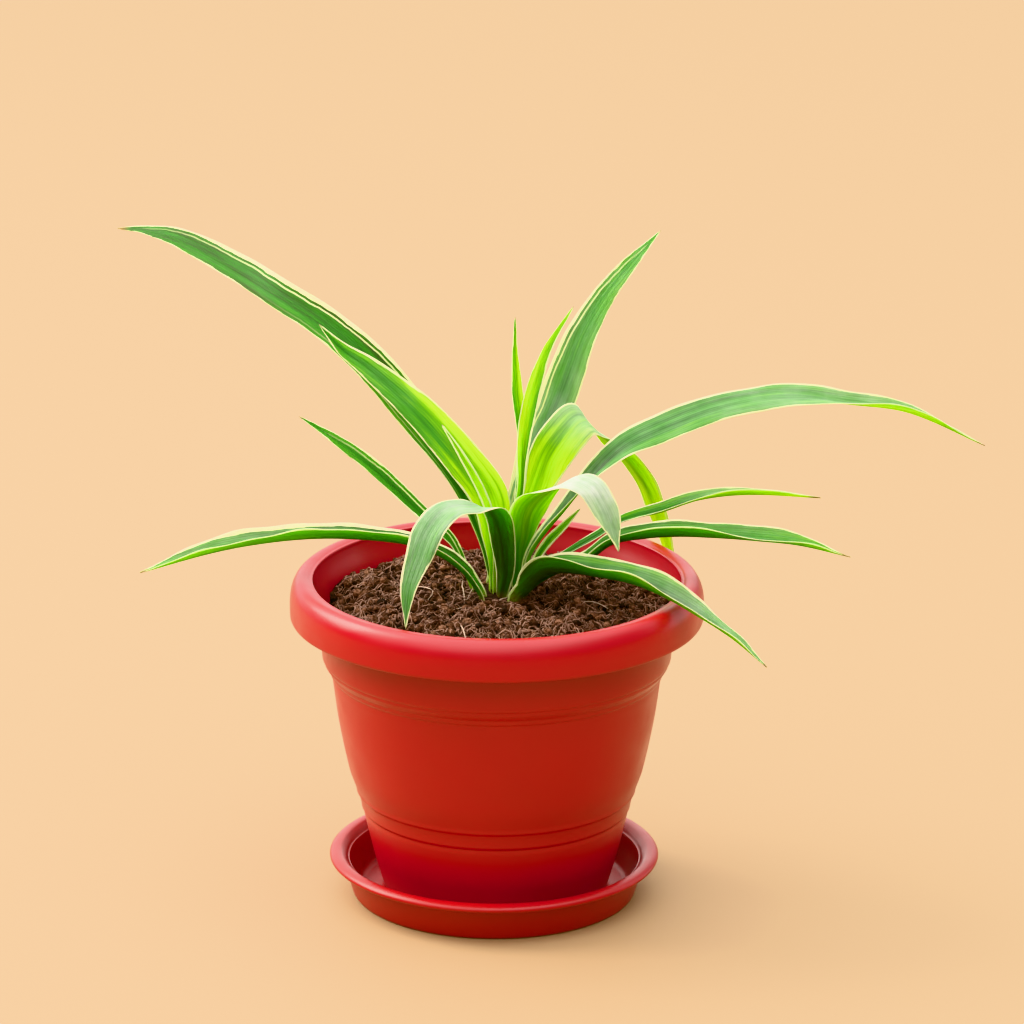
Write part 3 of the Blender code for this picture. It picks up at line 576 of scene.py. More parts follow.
def cut_drains(pot):
    """Cut the drain holes through the pot's floor, and apply the cut."""
    drains = bmesh.new()
    for index in range(DRAIN_COUNT):
        turn = math.tau * (index + 0.5) / DRAIN_COUNT
        middle = Vector((math.cos(turn) * DRAIN_CIRCLE, math.sin(turn) * DRAIN_CIRCLE, FLOOR_UNDERSIDE)) * MM
        made = bmesh.ops.create_cone(drains, cap_ends=True, segments=32, radius1=DRAIN_RADIUS * MM,
                                     radius2=DRAIN_RADIUS * MM, depth=4 * WALL * MM)
        bmesh.ops.translate(drains, verts=made["verts"], vec=middle)
    mesh = bpy.data.meshes.new("drain_cutter")
    drains.to_mesh(mesh)
    drains.free()
    cutter = show("drain_cutter", mesh)
    cut = pot.modifiers.new("drain holes", "BOOLEAN")
    cut.operation = "DIFFERENCE"
    cut.solver = "EXACT"
    cut.object = cutter
    with bpy.context.temp_override(object=pot, active_object=pot):
        bpy.ops.object.modifier_apply(modifier=cut.name)
    bpy.data.objects.remove(cutter)


class PLANT_OT_pot(bpy.types.Operator):
    """Turn the moulded pot, with its rolled rim, pressed rings and drain holes"""
    bl_idname = "plant.make_pot"
    bl_label = "Pot"

    def execute(self, context):
        settings = context.scene.plant_pot
        plastic = moulded_plastic("polypropylene_pot_moulded", settings, settings.red, POT_REFLECTION)
        pot = lathe("pot_moulded", pot_section(), settings.sides, True, plastic)
        cut_drains(pot)
        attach(pot, "root")
        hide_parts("pot")
        return {"FINISHED"}


class PLANT_OT_saucer(bpy.types.Operator):
    """Turn the moulded saucer, with its rolled lip and the fine step inside it"""
    bl_idname = "plant.make_saucer"
    bl_label = "Saucer"

    def execute(self, context):
        settings = context.scene.plant_pot
        plastic = moulded_plastic("polypropylene_saucer_moulded", settings, settings.saucer_red,
                                  SAUCER_REFLECTION)
        saucer = lathe("saucer_moulded", saucer_section(), settings.sides, False, plastic)
        saucer.data.transform(Matrix.Translation((SAUCER_SHIFT * MM, 0, 0)))
        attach(saucer, "root")
        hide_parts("saucer")
        return {"FINISHED"}


# Mounds and pits of the soil: right, back, radius and height in mm
SOIL_SWELLS = (
    (-64, 34, 18, 2.0), (-40, 52, 16, 2.0), (-78, 6, 12, -5.5), (-76, -18, 10, 0.5), (-20, 60, 18, 1.5),
    (8, 62, 14, 5.0), (46, -3, 9, 3.0), (31, 8, 7, -3.0), (66, 8, 8, -3.0), (62, -28, 12, 1.5),
    (30, -38, 12, 1.5), (-8, -44, 14, 1.0), (-40, -20, 14, 1.5), (-22, -6, 8, -2.0), (20, -22, 9, -1.5),
    (-52, -44, 12, 1.0), (10, -66, 12, 1.0), (56, 40, 14, 2.0),
)
# Sizes in mm in the soil's relief, and of the bends in its clods and crumbs
SWELL_SIZE = 17
LUMP_SIZE = 7
CLOD_SIZE = 11
CRUMB_SIZE = 4.2
FINES_SIZE = 1.3
BEND_SIZE = 5
# The soil pressed level round the leaves: the radius of the level part, where it ends, how far it lies
# over the crown, and the size of its lumps
PRESSED_RADIUS = 12
PRESSED_END = 24
PRESSED_RISE = 1.6
PRESSED_SIZE = 3


def lumps(x, y, size, layer):
    """Smooth random lumps of the given size: their height at one place, from -1 to 1."""
    return noise.noise(Vector((x / size, y / size, layer)))


def crack_distance(x, y, size, layer):
    """How far a place is from the cracks between random clods of the given size."""
    nearest = noise.voronoi(Vector((x / size, y / size, layer)))[0]
    return nearest[1] - nearest[0]


def random_place(draw, least, most):
    """A random place on the soil, between two shares of its area."""
    radius = SOIL_RADIUS * math.sqrt(draw.uniform(least, most))
    turn = draw.uniform(0, math.tau)
    return radius * math.cos(turn), radius * math.sin(turn)


class SoilTop:
    """The height of the soil's surface, worked out once on a square grid and then read anywhere."""

    def __init__(self):
        self.step = 2 * SOIL_RADIUS / SOIL_CELLS
        ticks = (np.arange(SOIL_CELLS + 1) * self.step) - SOIL_RADIUS
        self.heights = np.array([[self.rise(x, y) for x in ticks] for y in ticks])

    @staticmethod
    def rise(x, y):
        """The height at one place, from broad swells down to crumbs."""
        radius = math.hypot(x, y)
        height = SOIL_MIDDLE + (SOIL_EDGE - SOIL_MIDDLE) * (radius / SOIL_RADIUS) ** 2
        height += 2.2 * lumps(x, y, SWELL_SIZE, 3.1) + 1.2 * lumps(x, y, LUMP_SIZE, 8.4)
        for right, back, reach, swell in SOIL_SWELLS:
            height += swell * math.exp(-((x - right) ** 2 + (y - back) ** 2) / reach ** 2)
        bent = (x + 2.5 * lumps(x, y, BEND_SIZE, 1.0), y + 2.5 * lumps(x, y, BEND_SIZE, 9.0))
        height += 7.0 * (min(crack_distance(*bent, CLOD_SIZE, 0.5), 0.5) - 0.3)
        height += 3.0 * (min(crack_distance(*bent, CRUMB_SIZE, 4.5), 0.45) - 0.25)
        height += 0.5 * lumps(x, y, FINES_SIZE, 6.2)
        calm = float(ease(PRESSED_END, PRESSED_RADIUS, radius)) if radius < PRESSED_END else 0.0
        level = CROWN_TOP + PRESSED_RISE + 0.5 * lumps(x, y, PRESSED_SIZE, 2.0)
        return height * (1 - calm) + level * calm

    def __call__(self, x, y):
        """Heights at many places."""
        column = np.clip((np.asarray(x) + SOIL_RADIUS) / self.step, 0, SOIL_CELLS - 1e-6)
        row = np.clip((np.asarray(y) + SOIL_RADIUS) / self.step, 0, SOIL_CELLS - 1e-6)
        left, below = column.astype(int), row.astype(int)
        across, upward = column - left, row - below
        grid = self.heights
        low = grid[below, left] * (1 - across) + grid[below, left + 1] * across
        high = grid[below + 1, left] * (1 - across) + grid[below + 1, left + 1] * across
        return low * (1 - upward) + high * upward


def damp_soil_with_painted_shade(settings):
    """Coir and peat, loose and damp: dark in its pits from damp and painted shade, with dry brown crumbs
    that stand up from them.
    """
    material, tree, shader = start_material("coir_and_peat_loose", Roughness=0.95, Specular_IOR_Level=0.2)
    place = add(tree, "TexCoord", out="Object")
    depth = add(tree, "Attribute", out="Fac", attribute_name="depth")
    # Crumbs are about 1.5 mm across, and their fines about 0.4 mm.
    crumbs = add(tree, "TexNoise", {"Vector": place, "Scale": 650.0, "Detail": 5.0, "Roughness": 0.7})
    fines = add(tree, "TexNoise", {"Vector": place, "Scale": 2300.0, "Detail": 3.0})
    mixed = add(tree, "Math", {0: crumbs, 1: depth}, operation="MULTIPLY")
    # Painted shade and light, with damp and dry: pits take the dark colour, the crumbs' tops the light one.
    sunk_painted_shade = add(tree, "MapRange", {0: mixed, 1: 0.19, 2: 0.62})
    colour = add(tree, "ValToRGB", {0: sunk_painted_shade}, stops=[(0.0, settings.dark), (0.55, settings.damp),
                                                     (1.0, settings.crumb)])
    height = add(tree, "Math", {0: crumbs, 1: 2.0, 2: fines}, operation="MULTIPLY_ADD")
    bump = add(tree, "Bump", {"Height": height, "Strength": 0.9, "Distance": 0.0007})
    set_inputs(shader, {"Base Color": colour, "Normal": bump})
    return material


def coir_fibre(name, dark, light):
    """Coir, rotted loose from the husk: matt, hard little threads, each with a brown of its own."""
    material, tree, shader = start_material(name, Roughness=0.7, Specular_IOR_Level=0.3)
    shade = add(tree, "Attribute", out="Fac", attribute_name="shade")
    place = add(tree, "TexCoord", out="Object")
    patches = add(tree, "TexNoise", {"Vector": place, "Scale": 900.0, "Detail": 2.0})
    varied = add(tree, "Math", {0: patches, 1: 0.35, 2: shade}, operation="MULTIPLY_ADD")
    level = add(tree, "MapRange", {0: varied, 1: 0.15, 2: 1.2})
    colour = add(tree, "ValToRGB", {0: level}, stops=[(0.0, dark), (1.0, light)])
    set_inputs(shader, {"Base Color": colour})
    return material


def tubes(paths, radii, sides=3):
    """Closed thin tubes along paths of (x, y, z) rows: places, faces, and where each tube's places start."""
    places, faces, starts = [], [], []
    ring = np.arange(sides) * math.tau / sides
    for path, radius in zip(paths, radii):
        path = np.asarray(path, float)
        count = len(path)
        ahead = np.gradient(path, axis=0)
        ahead /= np.linalg.norm(ahead, axis=1)[:, None] + 1e-12
        lift = np.tile((0.0, 0.0, 1.0), (count, 1))
        lift[np.abs(ahead[:, 2]) > 0.9] = (1.0, 0.0, 0.0)
        side = np.cross(ahead, lift)
        side /= np.linalg.norm(side, axis=1)[:, None]
        up = np.cross(side, ahead)
        taper = radius * (0.35 + 0.65 * np.sin(np.linspace(0.0, math.pi, count)) ** 0.5)
        rings = path[:, None, :] + taper[:, None, None] * (np.cos(ring)[None, :, None] * side[:, None, :]
                                                           + np.sin(ring)[None, :, None] * up[:, None, :])
        first = sum(len(block) for block in places)
        starts.append(first)
        places.append(rings.reshape(-1, 3))
        for row in range(count - 1):
            low = first + row * sides
            high = low + sides
            faces += [(low + index, low + (index + 1) % sides, high + (index + 1) % sides, high + index)
                      for index in range(sides)]
        faces.append(tuple(range(first + sides - 1, first - 1, -1)))
        faces.append(tuple(range(first + (count - 1) * sides, first + count * sides)))
    return np.concatenate(places), faces, starts


# How long the steps of a fibre's path are, and how near it comes to the pot's wall, in mm
FIBRE_STEP = 0.9
WALL_GAP = 1.5


def curled_fibre(draw, top, longest):
    """One fibre's path over the soil: a walk whose heading keeps turning, in and out of the crumbs."""
    x, y = random_place(draw, 0.03, 0.955)
    length = draw.uniform(0.35, 1.0) ** 1.3 * longest
    count = int(np.clip(length / FIBRE_STEP, 5, 14))
    step = length / count
    heading = draw.uniform(0, math.tau)
    bend = draw.normal(0, 0.3)
    lift = draw.uniform(-0.1, 0.7)
    arch = max(0.0, draw.normal(0, 0.7))
    path = []
    for index in range(count + 1):
        path.append((x, y, lift + arch * math.sin(math.pi * index / count)))
        heading += bend * step + draw.normal(0, 0.28)
        if math.hypot(x + step * math.cos(heading), y + step * math.sin(heading)) > SOIL_RADIUS - WALL_GAP:
            heading = math.atan2(-y, -x) + draw.normal(0, 0.3)
        x += step * math.cos(heading)
        y += step * math.sin(heading)
    path = np.array(path)
    path[:, 2] += top(path[:, 0], path[:, 1])
    return path


# Stray pale roots on the soil, by the places that each passes: right, back and height over the soil
ROOT_HAIRS = (
    ((-16.6, 17.0, 1.0), (-16.9, 8.0, 2.6), (-16.2, -2.0, 2.2), (-15.8, -12.0, 0.6), (-21.4, -26.1, 0.4)),
    ((-10.2, 7.1, 0.8), (-12.0, 0.0, 1.4), (-14.6, -9.6, 0.3)),
    ((-18.5, -35.9, 0.9), (-16.2, -48.0, 1.6), (-14.2, -61.2, 0.4)),
    ((-0.4, -17.7, 0.8), (2.4, -13.5, 1.5), (5.3, -8.6, 0.6)),
    ((-44.0, 20.0, 0.6), (-36.0, 13.0, 2.4), (-31.0, 3.0, 2.0), (-33.5, -6.0, 0.4)),
    ((38.0, -14.0, 0.5), (47.0, -11.0, 2.0), (56.0, -16.0, 0.6)),
)
HAIR_RADIUS = 0.3
# Lots of coir fibres: name, share of all fibres, longest and range of radius in mm, and range of browns
FIBRE_LOTS = (
    ("coir_fibres_brown", 0.75, 10.0, (0.24, 0.5), (0.0, 0.6)),
    ("coir_fibres_pale", 0.25, 16.0, (0.16, 0.3), (0.4, 1.0)),
)
# The soil's side down the pot's wall, from the top: share of its radius, and height
SOIL_SIDE = ((0.985, SKIRT_BOTTOM), (0.975, 125.0), (0.92, 111.0), (0.74, 44.0), (0.61, 6.6))
# How dark the side is painted, as damp and shade, on the scale of the pits and crumbs
SIDE_DEPTH = 0.3


def smoothed(grid, reach):
    """The grid averaged over squares that reach the given number of cells each way."""
    padded = np.pad(grid, reach + 1, mode="edge").cumsum(0).cumsum(1)
    wide = 2 * reach + 1
    rows, columns = grid.shape
    corner = [padded[a:a + rows, b:b + columns] for a in (0, wide) for b in (0, wide)]
    return (corner[3] - corner[2] - corner[1] + corner[0]) / wide ** 2


class PLANT_OT_soil(bpy.types.Operator):
    """Shape the soil's crumbly top, and lay its loose crumbs, coir fibres and stray roots on it"""
    bl_idname = "plant.make_soil"
    bl_label = "Soil"

    def execute(self, context):
        settings = context.scene.plant_soil
        top = SoilTop()
        self.make_body(top, settings)
        self.scatter_crumbs(top, settings)
        self.lay_fibres(top, settings)
        hairs = [curve_through([(x, y, lift + float(top(x, y))) for x, y, lift in hair], 1.5)
                 for hair in ROOT_HAIRS]
        places, faces, _ = tubes(hairs, [HAIR_RADIUS] * len(hairs), sides=5)
        pale = coir_fibre("root_hair_dried", settings.hair, settings.hair)
        make_piece("root_hairs", places, faces, pale, {"shade": np.ones(len(places))})
        return {"FINISHED"}

    @staticmethod
    def make_body(top, settings):
        """The soil's top on a square grid bent to a disc, and its side down the pot's wall."""
        cells = SOIL_CELLS
        side = cells + 1
        ticks = np.linspace(-1, 1, side)
        across, back = np.meshgrid(ticks, ticks)
        x = SOIL_RADIUS * across * np.sqrt(1 - back ** 2 / 2)
        y = SOIL_RADIUS * back * np.sqrt(1 - across ** 2 / 2)
        heights = top(x, y)
        # Depth tells how far a place stands up from its surroundings, from the pits to the crumbs' tops.
        # The soil's shader darkens the low places by it, as damp and painted shade.
        depth = np.clip(0.55 + (heights - smoothed(heights, 7)) / 3.4, 0, 1.2)
        places = [np.stack([x.ravel(), y.ravel(), heights.ravel()], axis=1)]
        starts = [row * side + col for row in range(cells) for col in range(cells)]
        faces = [(start, start + 1, start + side + 1, start + side) for start in starts]
        # The grid's outline: along the front, up the right, back along the rear and down the left
        edge = list(range(cells)) + [row * side + cells for row in range(cells)]
        edge += [cells * side + col for col in range(cells, 0, -1)]
        edge += [row * side for row in range(cells, 0, -1)]
        upper = edge
        first = side * side
        for share, level in SOIL_SIDE:
            ring = places[0][edge]
            ring[:, :2] *= share
            ring[:, 2] = level
            places.append(ring)
            lower = list(range(first, first + len(edge)))
            first += len(edge)
            pairs = list(zip(upper, lower))
            faces += [(high, low, next_low, next_high)
                      for (high, low), (next_high, next_low) in zip(pairs, pairs[1:] + pairs[:1])]
            upper = lower
        faces.append(tuple(upper[::-1]))
        places = np.concatenate(places)
        depths = np.full(len(places), SIDE_DEPTH)
        depths[:side * side] = depth.ravel()
        make_piece("soil_body", places, faces, damp_soil_with_painted_shade(settings), {"depth": depths}, ("soil",))

    @staticmethod
    def scatter_crumbs(top, settings):
        """Loose crumbs, each a rough lump of its own size and turn, part sunk in the soil."""
        draw = np.random.default_rng(SOIL_SEED)
        ball = bmesh.new()
        bmesh.ops.create_icosphere(ball, subdivisions=2, radius=1.0)
        corners = np.array([corner.co for corner in ball.verts])
        sides = [tuple(corner.index for corner in face.verts) for face in ball.faces]
        ball.free()
        places, faces, depth = [], [], []
        for index in range(settings.crumbs):
            right, back = random_place(draw, 0.04, 0.95)
            size = 0.5 + 1.8 * draw.uniform() ** 2.2
            shift = Vector(draw.uniform(0, 90, 3))
            rough = np.array([1 + 0.75 * noise.noise(Vector(corner) * 1.3 + shift) for corner in corners])
            lump = corners * rough[:, None] * size * draw.uniform((0.8, 0.8, 0.55), (1.3, 1.1, 0.9))
            spin = draw.uniform(0, math.tau)
            x = lump[:, 0] * math.cos(spin) - lump[:, 1] * math.sin(spin) + right
            y = lump[:, 0] * math.sin(spin) + lump[:, 1] * math.cos(spin) + back
            level = float(top(right, back))
            first = index * len(corners)
            places.append(np.stack([x, y, lump[:, 2] + level + 0.25 * size], axis=1))
            faces += [tuple(first + corner for corner in side) for side in sides]
            depth.append(np.full(len(corners), draw.uniform(0.45, 1.15)))
        make_piece("soil_crumbs", np.concatenate(places), faces, damp_soil_with_painted_shade(settings),
                   {"depth": np.concatenate(depth)})

    @staticmethod
    def lay_fibres(top, settings):
        """Curled coir fibres, in a dark and a pale lot."""
        draw = np.random.default_rng(SOIL_SEED + 1)
        for name, share, longest, thick, shades in FIBRE_LOTS:
            count = int(settings.fibres * share)
            paths = [curled_fibre(draw, top, longest) for _ in range(count)]
            radii = draw.uniform(*thick, count)
            places, faces, starts = tubes(paths, radii)
            tone = np.zeros(len(places))
            for start, end in zip(starts, starts[1:] + [len(places)]):
                tone[start:end] = draw.uniform(*shades)
            husk = coir_fibre(name.replace("fibres", "fibre"), settings.fibre_dark, settings.fibre_light)
            make_piece(name, places, faces, husk, {"shade": tone})


# How far apart the rows of a blade are, its strips, and the rounding of its keel in half widths
BLADE_SPACING = 1.5
BLADE_STRIPS = 30
KEEL_ROUNDING = 0.10
# The least half width of a blade, and the share of its length where the tip starts to close
LEAST_HALF = 0.12
TIP_START = 0.985
# Long and short waves of the rippled margins: mm of the blade for each radian
PLUS_RIPPLES = (8.5, 3.9)
MINUS_RIPPLES = (9.7, 4.3)
# The broad ribs on a blade: their height in mm and their radians over half its width
RIB_HEIGHT = 0.10
RIB_TURNS = 15
# The fine ribs on a blade, in mm
RIB_SPACING = 1.15
# Each leaf's patterns start this much further along than those of the one before
PATTERN_STEP = 7.3


def leaf_frames(leaf):
    """Places along the midrib, each with its share, its run in mm and its two cross directions."""
    seat = CROWN_TOP + TOUCH_GAP - ROUTE_LEVEL
    route = [Vector((*point, seat)) if len(point) == 2 else Vector(point) for point in leaf.route]
    spots = curve_through(route, BLADE_SPACING)
    travelled = [0.0]
    for start, end in zip(spots, spots[1:]):
        travelled.append(travelled[-1] + (end - start).length)
    reach = route[-1] - route[0]
    leftward = Vector((-reach.y, reach.x, 0))
    frames = []
    for index, spot in enumerate(spots):
        t = travelled[index] / travelled[-1]
        before = spots[max(index - 1, 0)]
        after = spots[min(index + 1, len(spots) - 1)]
        ahead = (after - before).normalized() if index else Vector((0, 0, 1))
        across = (leftward - ahead * leftward.dot(ahead)).normalized()
        face = ahead.cross(across)
        roll = math.radians(along(leaf.roll, t))
        side = across * math.cos(roll) + face * math.sin(roll)
        up = face * math.cos(roll) - across * math.sin(roll)
        frames.append((t, travelled[index], spot + Vector((0, 0, ROUTE_LEVEL)), side, up))
    return frames


def rippled(travelled, waves, phases):
    """The ripple of one margin: a long wave and a weaker short one."""
    long_wave, short_wave = (math.sin(travelled / wave + phase) for wave, phase in zip(waves, phases))
    return long_wave + 0.6 * short_wave


def blade_faces(rows):
    """The faces round a closed blade with the given number of rows, and the caps at its two ends."""
    around = 2 * (BLADE_STRIPS + 1)
    faces = []
    for low in range(0, (rows - 1) * around, around):
        high = low + around
        faces += [(low + col, low + (col + 1) % around, high + (col + 1) % around, high + col)
                  for col in range(around)]
    for start, backward in ((0, True), ((rows - 1) * around, False)):
        for col in range(BLADE_STRIPS):
            cap = (start + col, start + col + 1, start + around - 2 - col, start + around - 1 - col)
            faces.append(cap[::-1] if backward else cap)
    return [face[::-1] for face in faces]


def leaf_mesh(leaf, look, index, settings):
    """A fine blade on the solid's own form: rounded keel, veined relief, rippled margins and a fine tip."""
    u = np.linspace(-1, 1, BLADE_STRIPS + 1)
    u = np.sign(u) * np.abs(u) ** 0.85
    size = np.abs(u)
    even = np.ones(len(u))
    # The V of the solid, with its keel rounded off
    bent = np.sqrt(u ** 2 + KEEL_ROUNDING ** 2)
    vee = (bent - KEEL_ROUNDING) / (math.sqrt(1 + KEEL_ROUNDING ** 2) - KEEL_ROUNDING)
    slope = u / bent
    phases = (index * 2.3, index * 1.7 + 1.1)
    rows, blade, tones, margin, under = [], [], [], [], []
    for t, travelled, spot, side, up in leaf_frames(leaf):
        half = max(along(leaf.widths, t) / 2, LEAST_HALF) * (1 - 0.8 * float(ease(TIP_START, 1.0, t)))
        fold = math.radians(along(leaf.fold, t))
        wave = leaf.wave * math.sin(t * WAVE_TURNS + leaf.widths[2]) * math.sin(math.pi * t)
        # Ripples and ribs start past the base, and are weaker at the tip.
        calm = float(ease(0.06, 0.25, t)) * (1 - 0.6 * float(ease(0.9, 1.0, t)))
        ripple = np.where(u > 0, rippled(travelled, PLUS_RIPPLES, phases),
                          rippled(travelled, MINUS_RIPPLES, phases[::-1]))
        lift = half * math.sin(fold) * vee + wave * u * size + look.ripple * calm * ripple * size ** 5
        # Broad ribs run the length of the blade, and the margins turn down a little.
        lift += RIB_HEIGHT * calm * np.cos(u * RIB_TURNS) * (1 - size ** 3)
        lift -= 0.05 * half * calm * ease(0.72, 1.0, size)
        places = np.asarray(spot) + np.outer(u * half * math.cos(fold), side) + np.outer(lift, up)
        normal = np.outer(np.cos(fold * slope), up) - np.outer(slope * math.sin(fold), side)
        # The keel thins towards the tip.
        thin = 1 - 0.6 * float(ease(0.0, 1.0, t))
        thick = (settings.keel_half * thin * (1 - size) ** 2 + settings.edge_half)[:, None]
        rows.append(np.concatenate([places + normal * thick, (places - normal * thick)[::-1]]))
        sided = ease(0.05, 0.7, size)
        outer_tone = np.where(u < 0, along(look.minus, t), along(look.plus, t))
        upper_tone = along(look.midrib, t) * (1 - sided) + outer_tone * sided
        # The tip is dry, and the foot is brown where it sat in the soil.
        dry = float(ease(1 - look.dry * 1.6, 1 - look.dry * 0.4, t) + 0.6 * ease(6.0, 0.0, travelled))
        edges = np.where(u < 0, *(along(widths, t) for widths in look.margins))
        lines = np.where(u < 0, *(along(strengths, t) for strengths in look.lines))
        back_tone = along(look.back, t) * even
        # The upper face is listed from margin to margin, and the back the other way.
        for turn, tone, pale in ((1, upper_tone, along(look.pale, t)), (-1, back_tone, 0.0)):
            blade.append(np.column_stack([u * half, travelled * even, half * even])[::turn])
            tones.append(np.column_stack([tone, pale * even, dry * even])[::turn])
            margin.append(np.column_stack([edges, lines, index * PATTERN_STEP * even])[::turn])
            under.append(even * (turn < 0))
    facts = {"blade": blade, "tones": tones, "margin": margin, "under": under}
    facts = {name: np.concatenate(values) for name, values in facts.items()}
    return np.concatenate(rows), blade_faces(len(rows)), facts


def strap_leaf(settings):
    """A living strap leaf: waxy over long parallel veins, cream where the margins hold no green.

    All its patterns are drawn in millimetres across and along the blade.
    """
    # Light goes about 2.6 mm through the blade, green light the furthest.
    material, tree, shader = start_material("strap_leaf_waxy", IOR=1.45, Specular_IOR_Level=0.17,
                                            Subsurface_Weight=0.6, Subsurface_Scale=0.0026,
                                            Subsurface_Radius=(0.62, 1.0, 0.45))
    facts = []
    for name in ("blade", "tones", "margin"):
        fact = add(tree, "Attribute", out="Vector", attribute_name=name)
        facts += [add(tree, "SeparateXYZ", {0: fact}, out=part) for part in range(3)]
    across, run_mm, half, tone, pale, dried, band, line, seed = facts
    under = add(tree, "Attribute", out="Fac", attribute_name="under")

    # Veins: streaks about 0.7 mm apart and bands about 3 mm apart, drawn out along the blade
    slow = add(tree, "Math", {0: run_mm, 1: 0.045}, operation="MULTIPLY")
    streak_place = add(tree, "CombineXYZ", {0: across, 1: slow, 2: seed})
    streaks = add(tree, "TexNoise", {"Vector": streak_place, "Scale": 1.5, "Detail": 3.0, "Roughness": 0.6})
    bands = add(tree, "TexNoise", {"Vector": streak_place, "Scale": 0.38, "Detail": 1.0})
    patch_place = add(tree, "CombineXYZ", {0: across, 1: run_mm, 2: seed})
    patches = add(tree, "TexNoise", {"Vector": patch_place, "Scale": 0.09, "Detail": 4.0})

    # Tone, from olive through green to yellow-green
    fine = add(tree, "Math", {0: streaks, 1: 0.5}, operation="SUBTRACT")
    broad = add(tree, "Math", {0: bands, 1: 0.5}, operation="SUBTRACT")
    spread = add(tree, "Math", {0: broad, 1: 1.6, 2: fine}, operation="MULTIPLY_ADD")
    contrast = add(tree, "MapRange", {0: under, 1: 0.0, 2: 1.0, 3: 0.85, 4: 0.55})
    streaked = add(tree, "Math", {0: spread, 1: contrast}, operation="MULTIPLY")
    toned = add(tree, "Math", {0: streaked, 1: tone}, operation="ADD")
    ramp_place = add(tree, "MapRange", {0: toned, 1: -1.0, 2: 1.0})
    green = add(tree, "ValToRGB", {0: ramp_place},
                stops=[(0.0, settings.olive), (0.28, settings.deep), (0.52, settings.green),
                       (0.76, settings.lively), (1.0, settings.bright)])
    # Silvery wax and painted sheen: the upper face is paled where the pale list is high, at lit crests.
    mottled = add(tree, "Math", {0: streaks, 1: 0.5, 2: patches}, operation="MULTIPLY_ADD")
    bloom_and_sheen_share = add(tree, "Math", {0: mottled, 1: pale}, operation="MULTIPLY")
    bloom_and_sheen_level = add(tree, "MapRange", {0: bloom_and_sheen_share, 1: 0.1, 2: 2.1})
    with_bloom_and_sheen = add(tree, "Mix", {0: bloom_and_sheen_level, 6: green, 7: (*settings.bloom_and_sheen, 1)}, out=2, data_type="RGBA")

    # Margins: the cream band, its feathered inner side, and the thin cream line further in
    size = add(tree, "Math", {0: across}, operation="ABSOLUTE")
    inset = add(tree, "Math", {0: half, 1: size}, operation="SUBTRACT")
    sway = add(tree, "Math", {0: patches, 1: 0.5}, operation="SUBTRACT")
    swayed = add(tree, "Math", {0: sway, 1: 1.6, 2: band}, operation="MULTIPLY_ADD")
    feather = add(tree, "Math", {0: fine, 1: 1.1, 2: swayed}, operation="MULTIPLY_ADD")
    past = add(tree, "Math", {0: inset, 1: feather}, operation="SUBTRACT")
    in_band = add(tree, "MapRange", {0: past, 1: 0.18, 2: -0.12}, interpolation_type="SMOOTHSTEP")
    line_place = add(tree, "Math", {0: swayed, 1: 1.7}, operation="ADD")
    from_line = add(tree, "Math", {0: inset, 1: line_place}, operation="SUBTRACT")
    line_gap = add(tree, "Math", {0: from_line}, operation="ABSOLUTE")
    near_line = add(tree, "MapRange", {0: line_gap, 1: 0.5, 2: 0.15}, interpolation_type="SMOOTHSTEP")
    in_line = add(tree, "Math", {0: near_line, 1: line}, operation="MULTIPLY")
    creamy = add(tree, "Math", {0: in_band, 1: in_line}, operation="MAXIMUM")
    lively_cream = add(tree, "MapRange", {0: tone, 1: 0.2, 2: 1.0, 3: 0.0, 4: 0.35})
    cream = add(tree, "Mix", {0: lively_cream, 6: (*settings.cream, 1), 7: (*settings.lively, 1)},
                out=2, data_type="RGBA")
    # On the back of the blade some green shows through the margin.
    cream_level = add(tree, "MapRange", {0: under, 1: 0.0, 2: 1.0, 3: 1.0, 4: 0.72})
    cream_share = add(tree, "Math", {0: creamy, 1: cream_level}, operation="MULTIPLY")
    edged = add(tree, "Mix", {0: cream_share, 6: with_bloom_and_sheen, 7: cream}, out=2, data_type="RGBA")

    # Scars and the dry tip
    marks = add(tree, "TexNoise", {"Vector": patch_place, "Scale": 0.55, "Detail": 5.0, "Roughness": 0.7})
    scarred = add(tree, "MapRange", {0: marks, 1: 0.70, 2: 0.76, 3: 0.0, 4: 0.55})
    browned = add(tree, "Math", {0: scarred, 1: dried}, operation="MAXIMUM")
    finished = add(tree, "Mix", {0: browned, 6: edged, 7: (*settings.dry, 1)}, out=2, data_type="RGBA")

    # The upper face is waxier than the back, and less so along its veins.
    backed = add(tree, "MapRange", {0: under, 1: 0.0, 2: 1.0, 3: 0.0, 4: 0.1})
    waxed = add(tree, "MapRange", {0: streaks, 1: 0.25, 2: 0.75, 3: 0.46, 4: 0.58})
    gloss = add(tree, "Math", {0: waxed, 1: backed}, operation="ADD")
    turns = add(tree, "Math", {0: across, 1: math.tau / RIB_SPACING}, operation="MULTIPLY")
    ribs = add(tree, "Math", {0: turns}, operation="SINE")
    relief = add(tree, "Math", {0: ribs, 1: 0.35, 2: streaks}, operation="MULTIPLY_ADD")
    bump = add(tree, "Bump", {"Height": relief, "Strength": 0.35, "Distance": 0.00025})
    set_inputs(shader, {"Base Color": finished, "Roughness": gloss, "Normal": bump})
    return material


class PLANT_OT_leaves(bpy.types.Operator):
    """Shape every strap leaf along its midrib, with cream margins, parallel veins and a dry tip"""
    bl_idname = "plant.make_leaves"
    bl_label = "Leaves"

    def execute(self, context):
        settings = context.scene.plant_leaves
        living = strap_leaf(settings)
        for index, leaf in enumerate(LEAVES):
            places, faces, facts = leaf_mesh(leaf, LOOKS[leaf.name], index, settings)
            make_piece(leaf.name + "_blade", places, faces, living, facts, (leaf.name,))
        return {"FINISHED"}


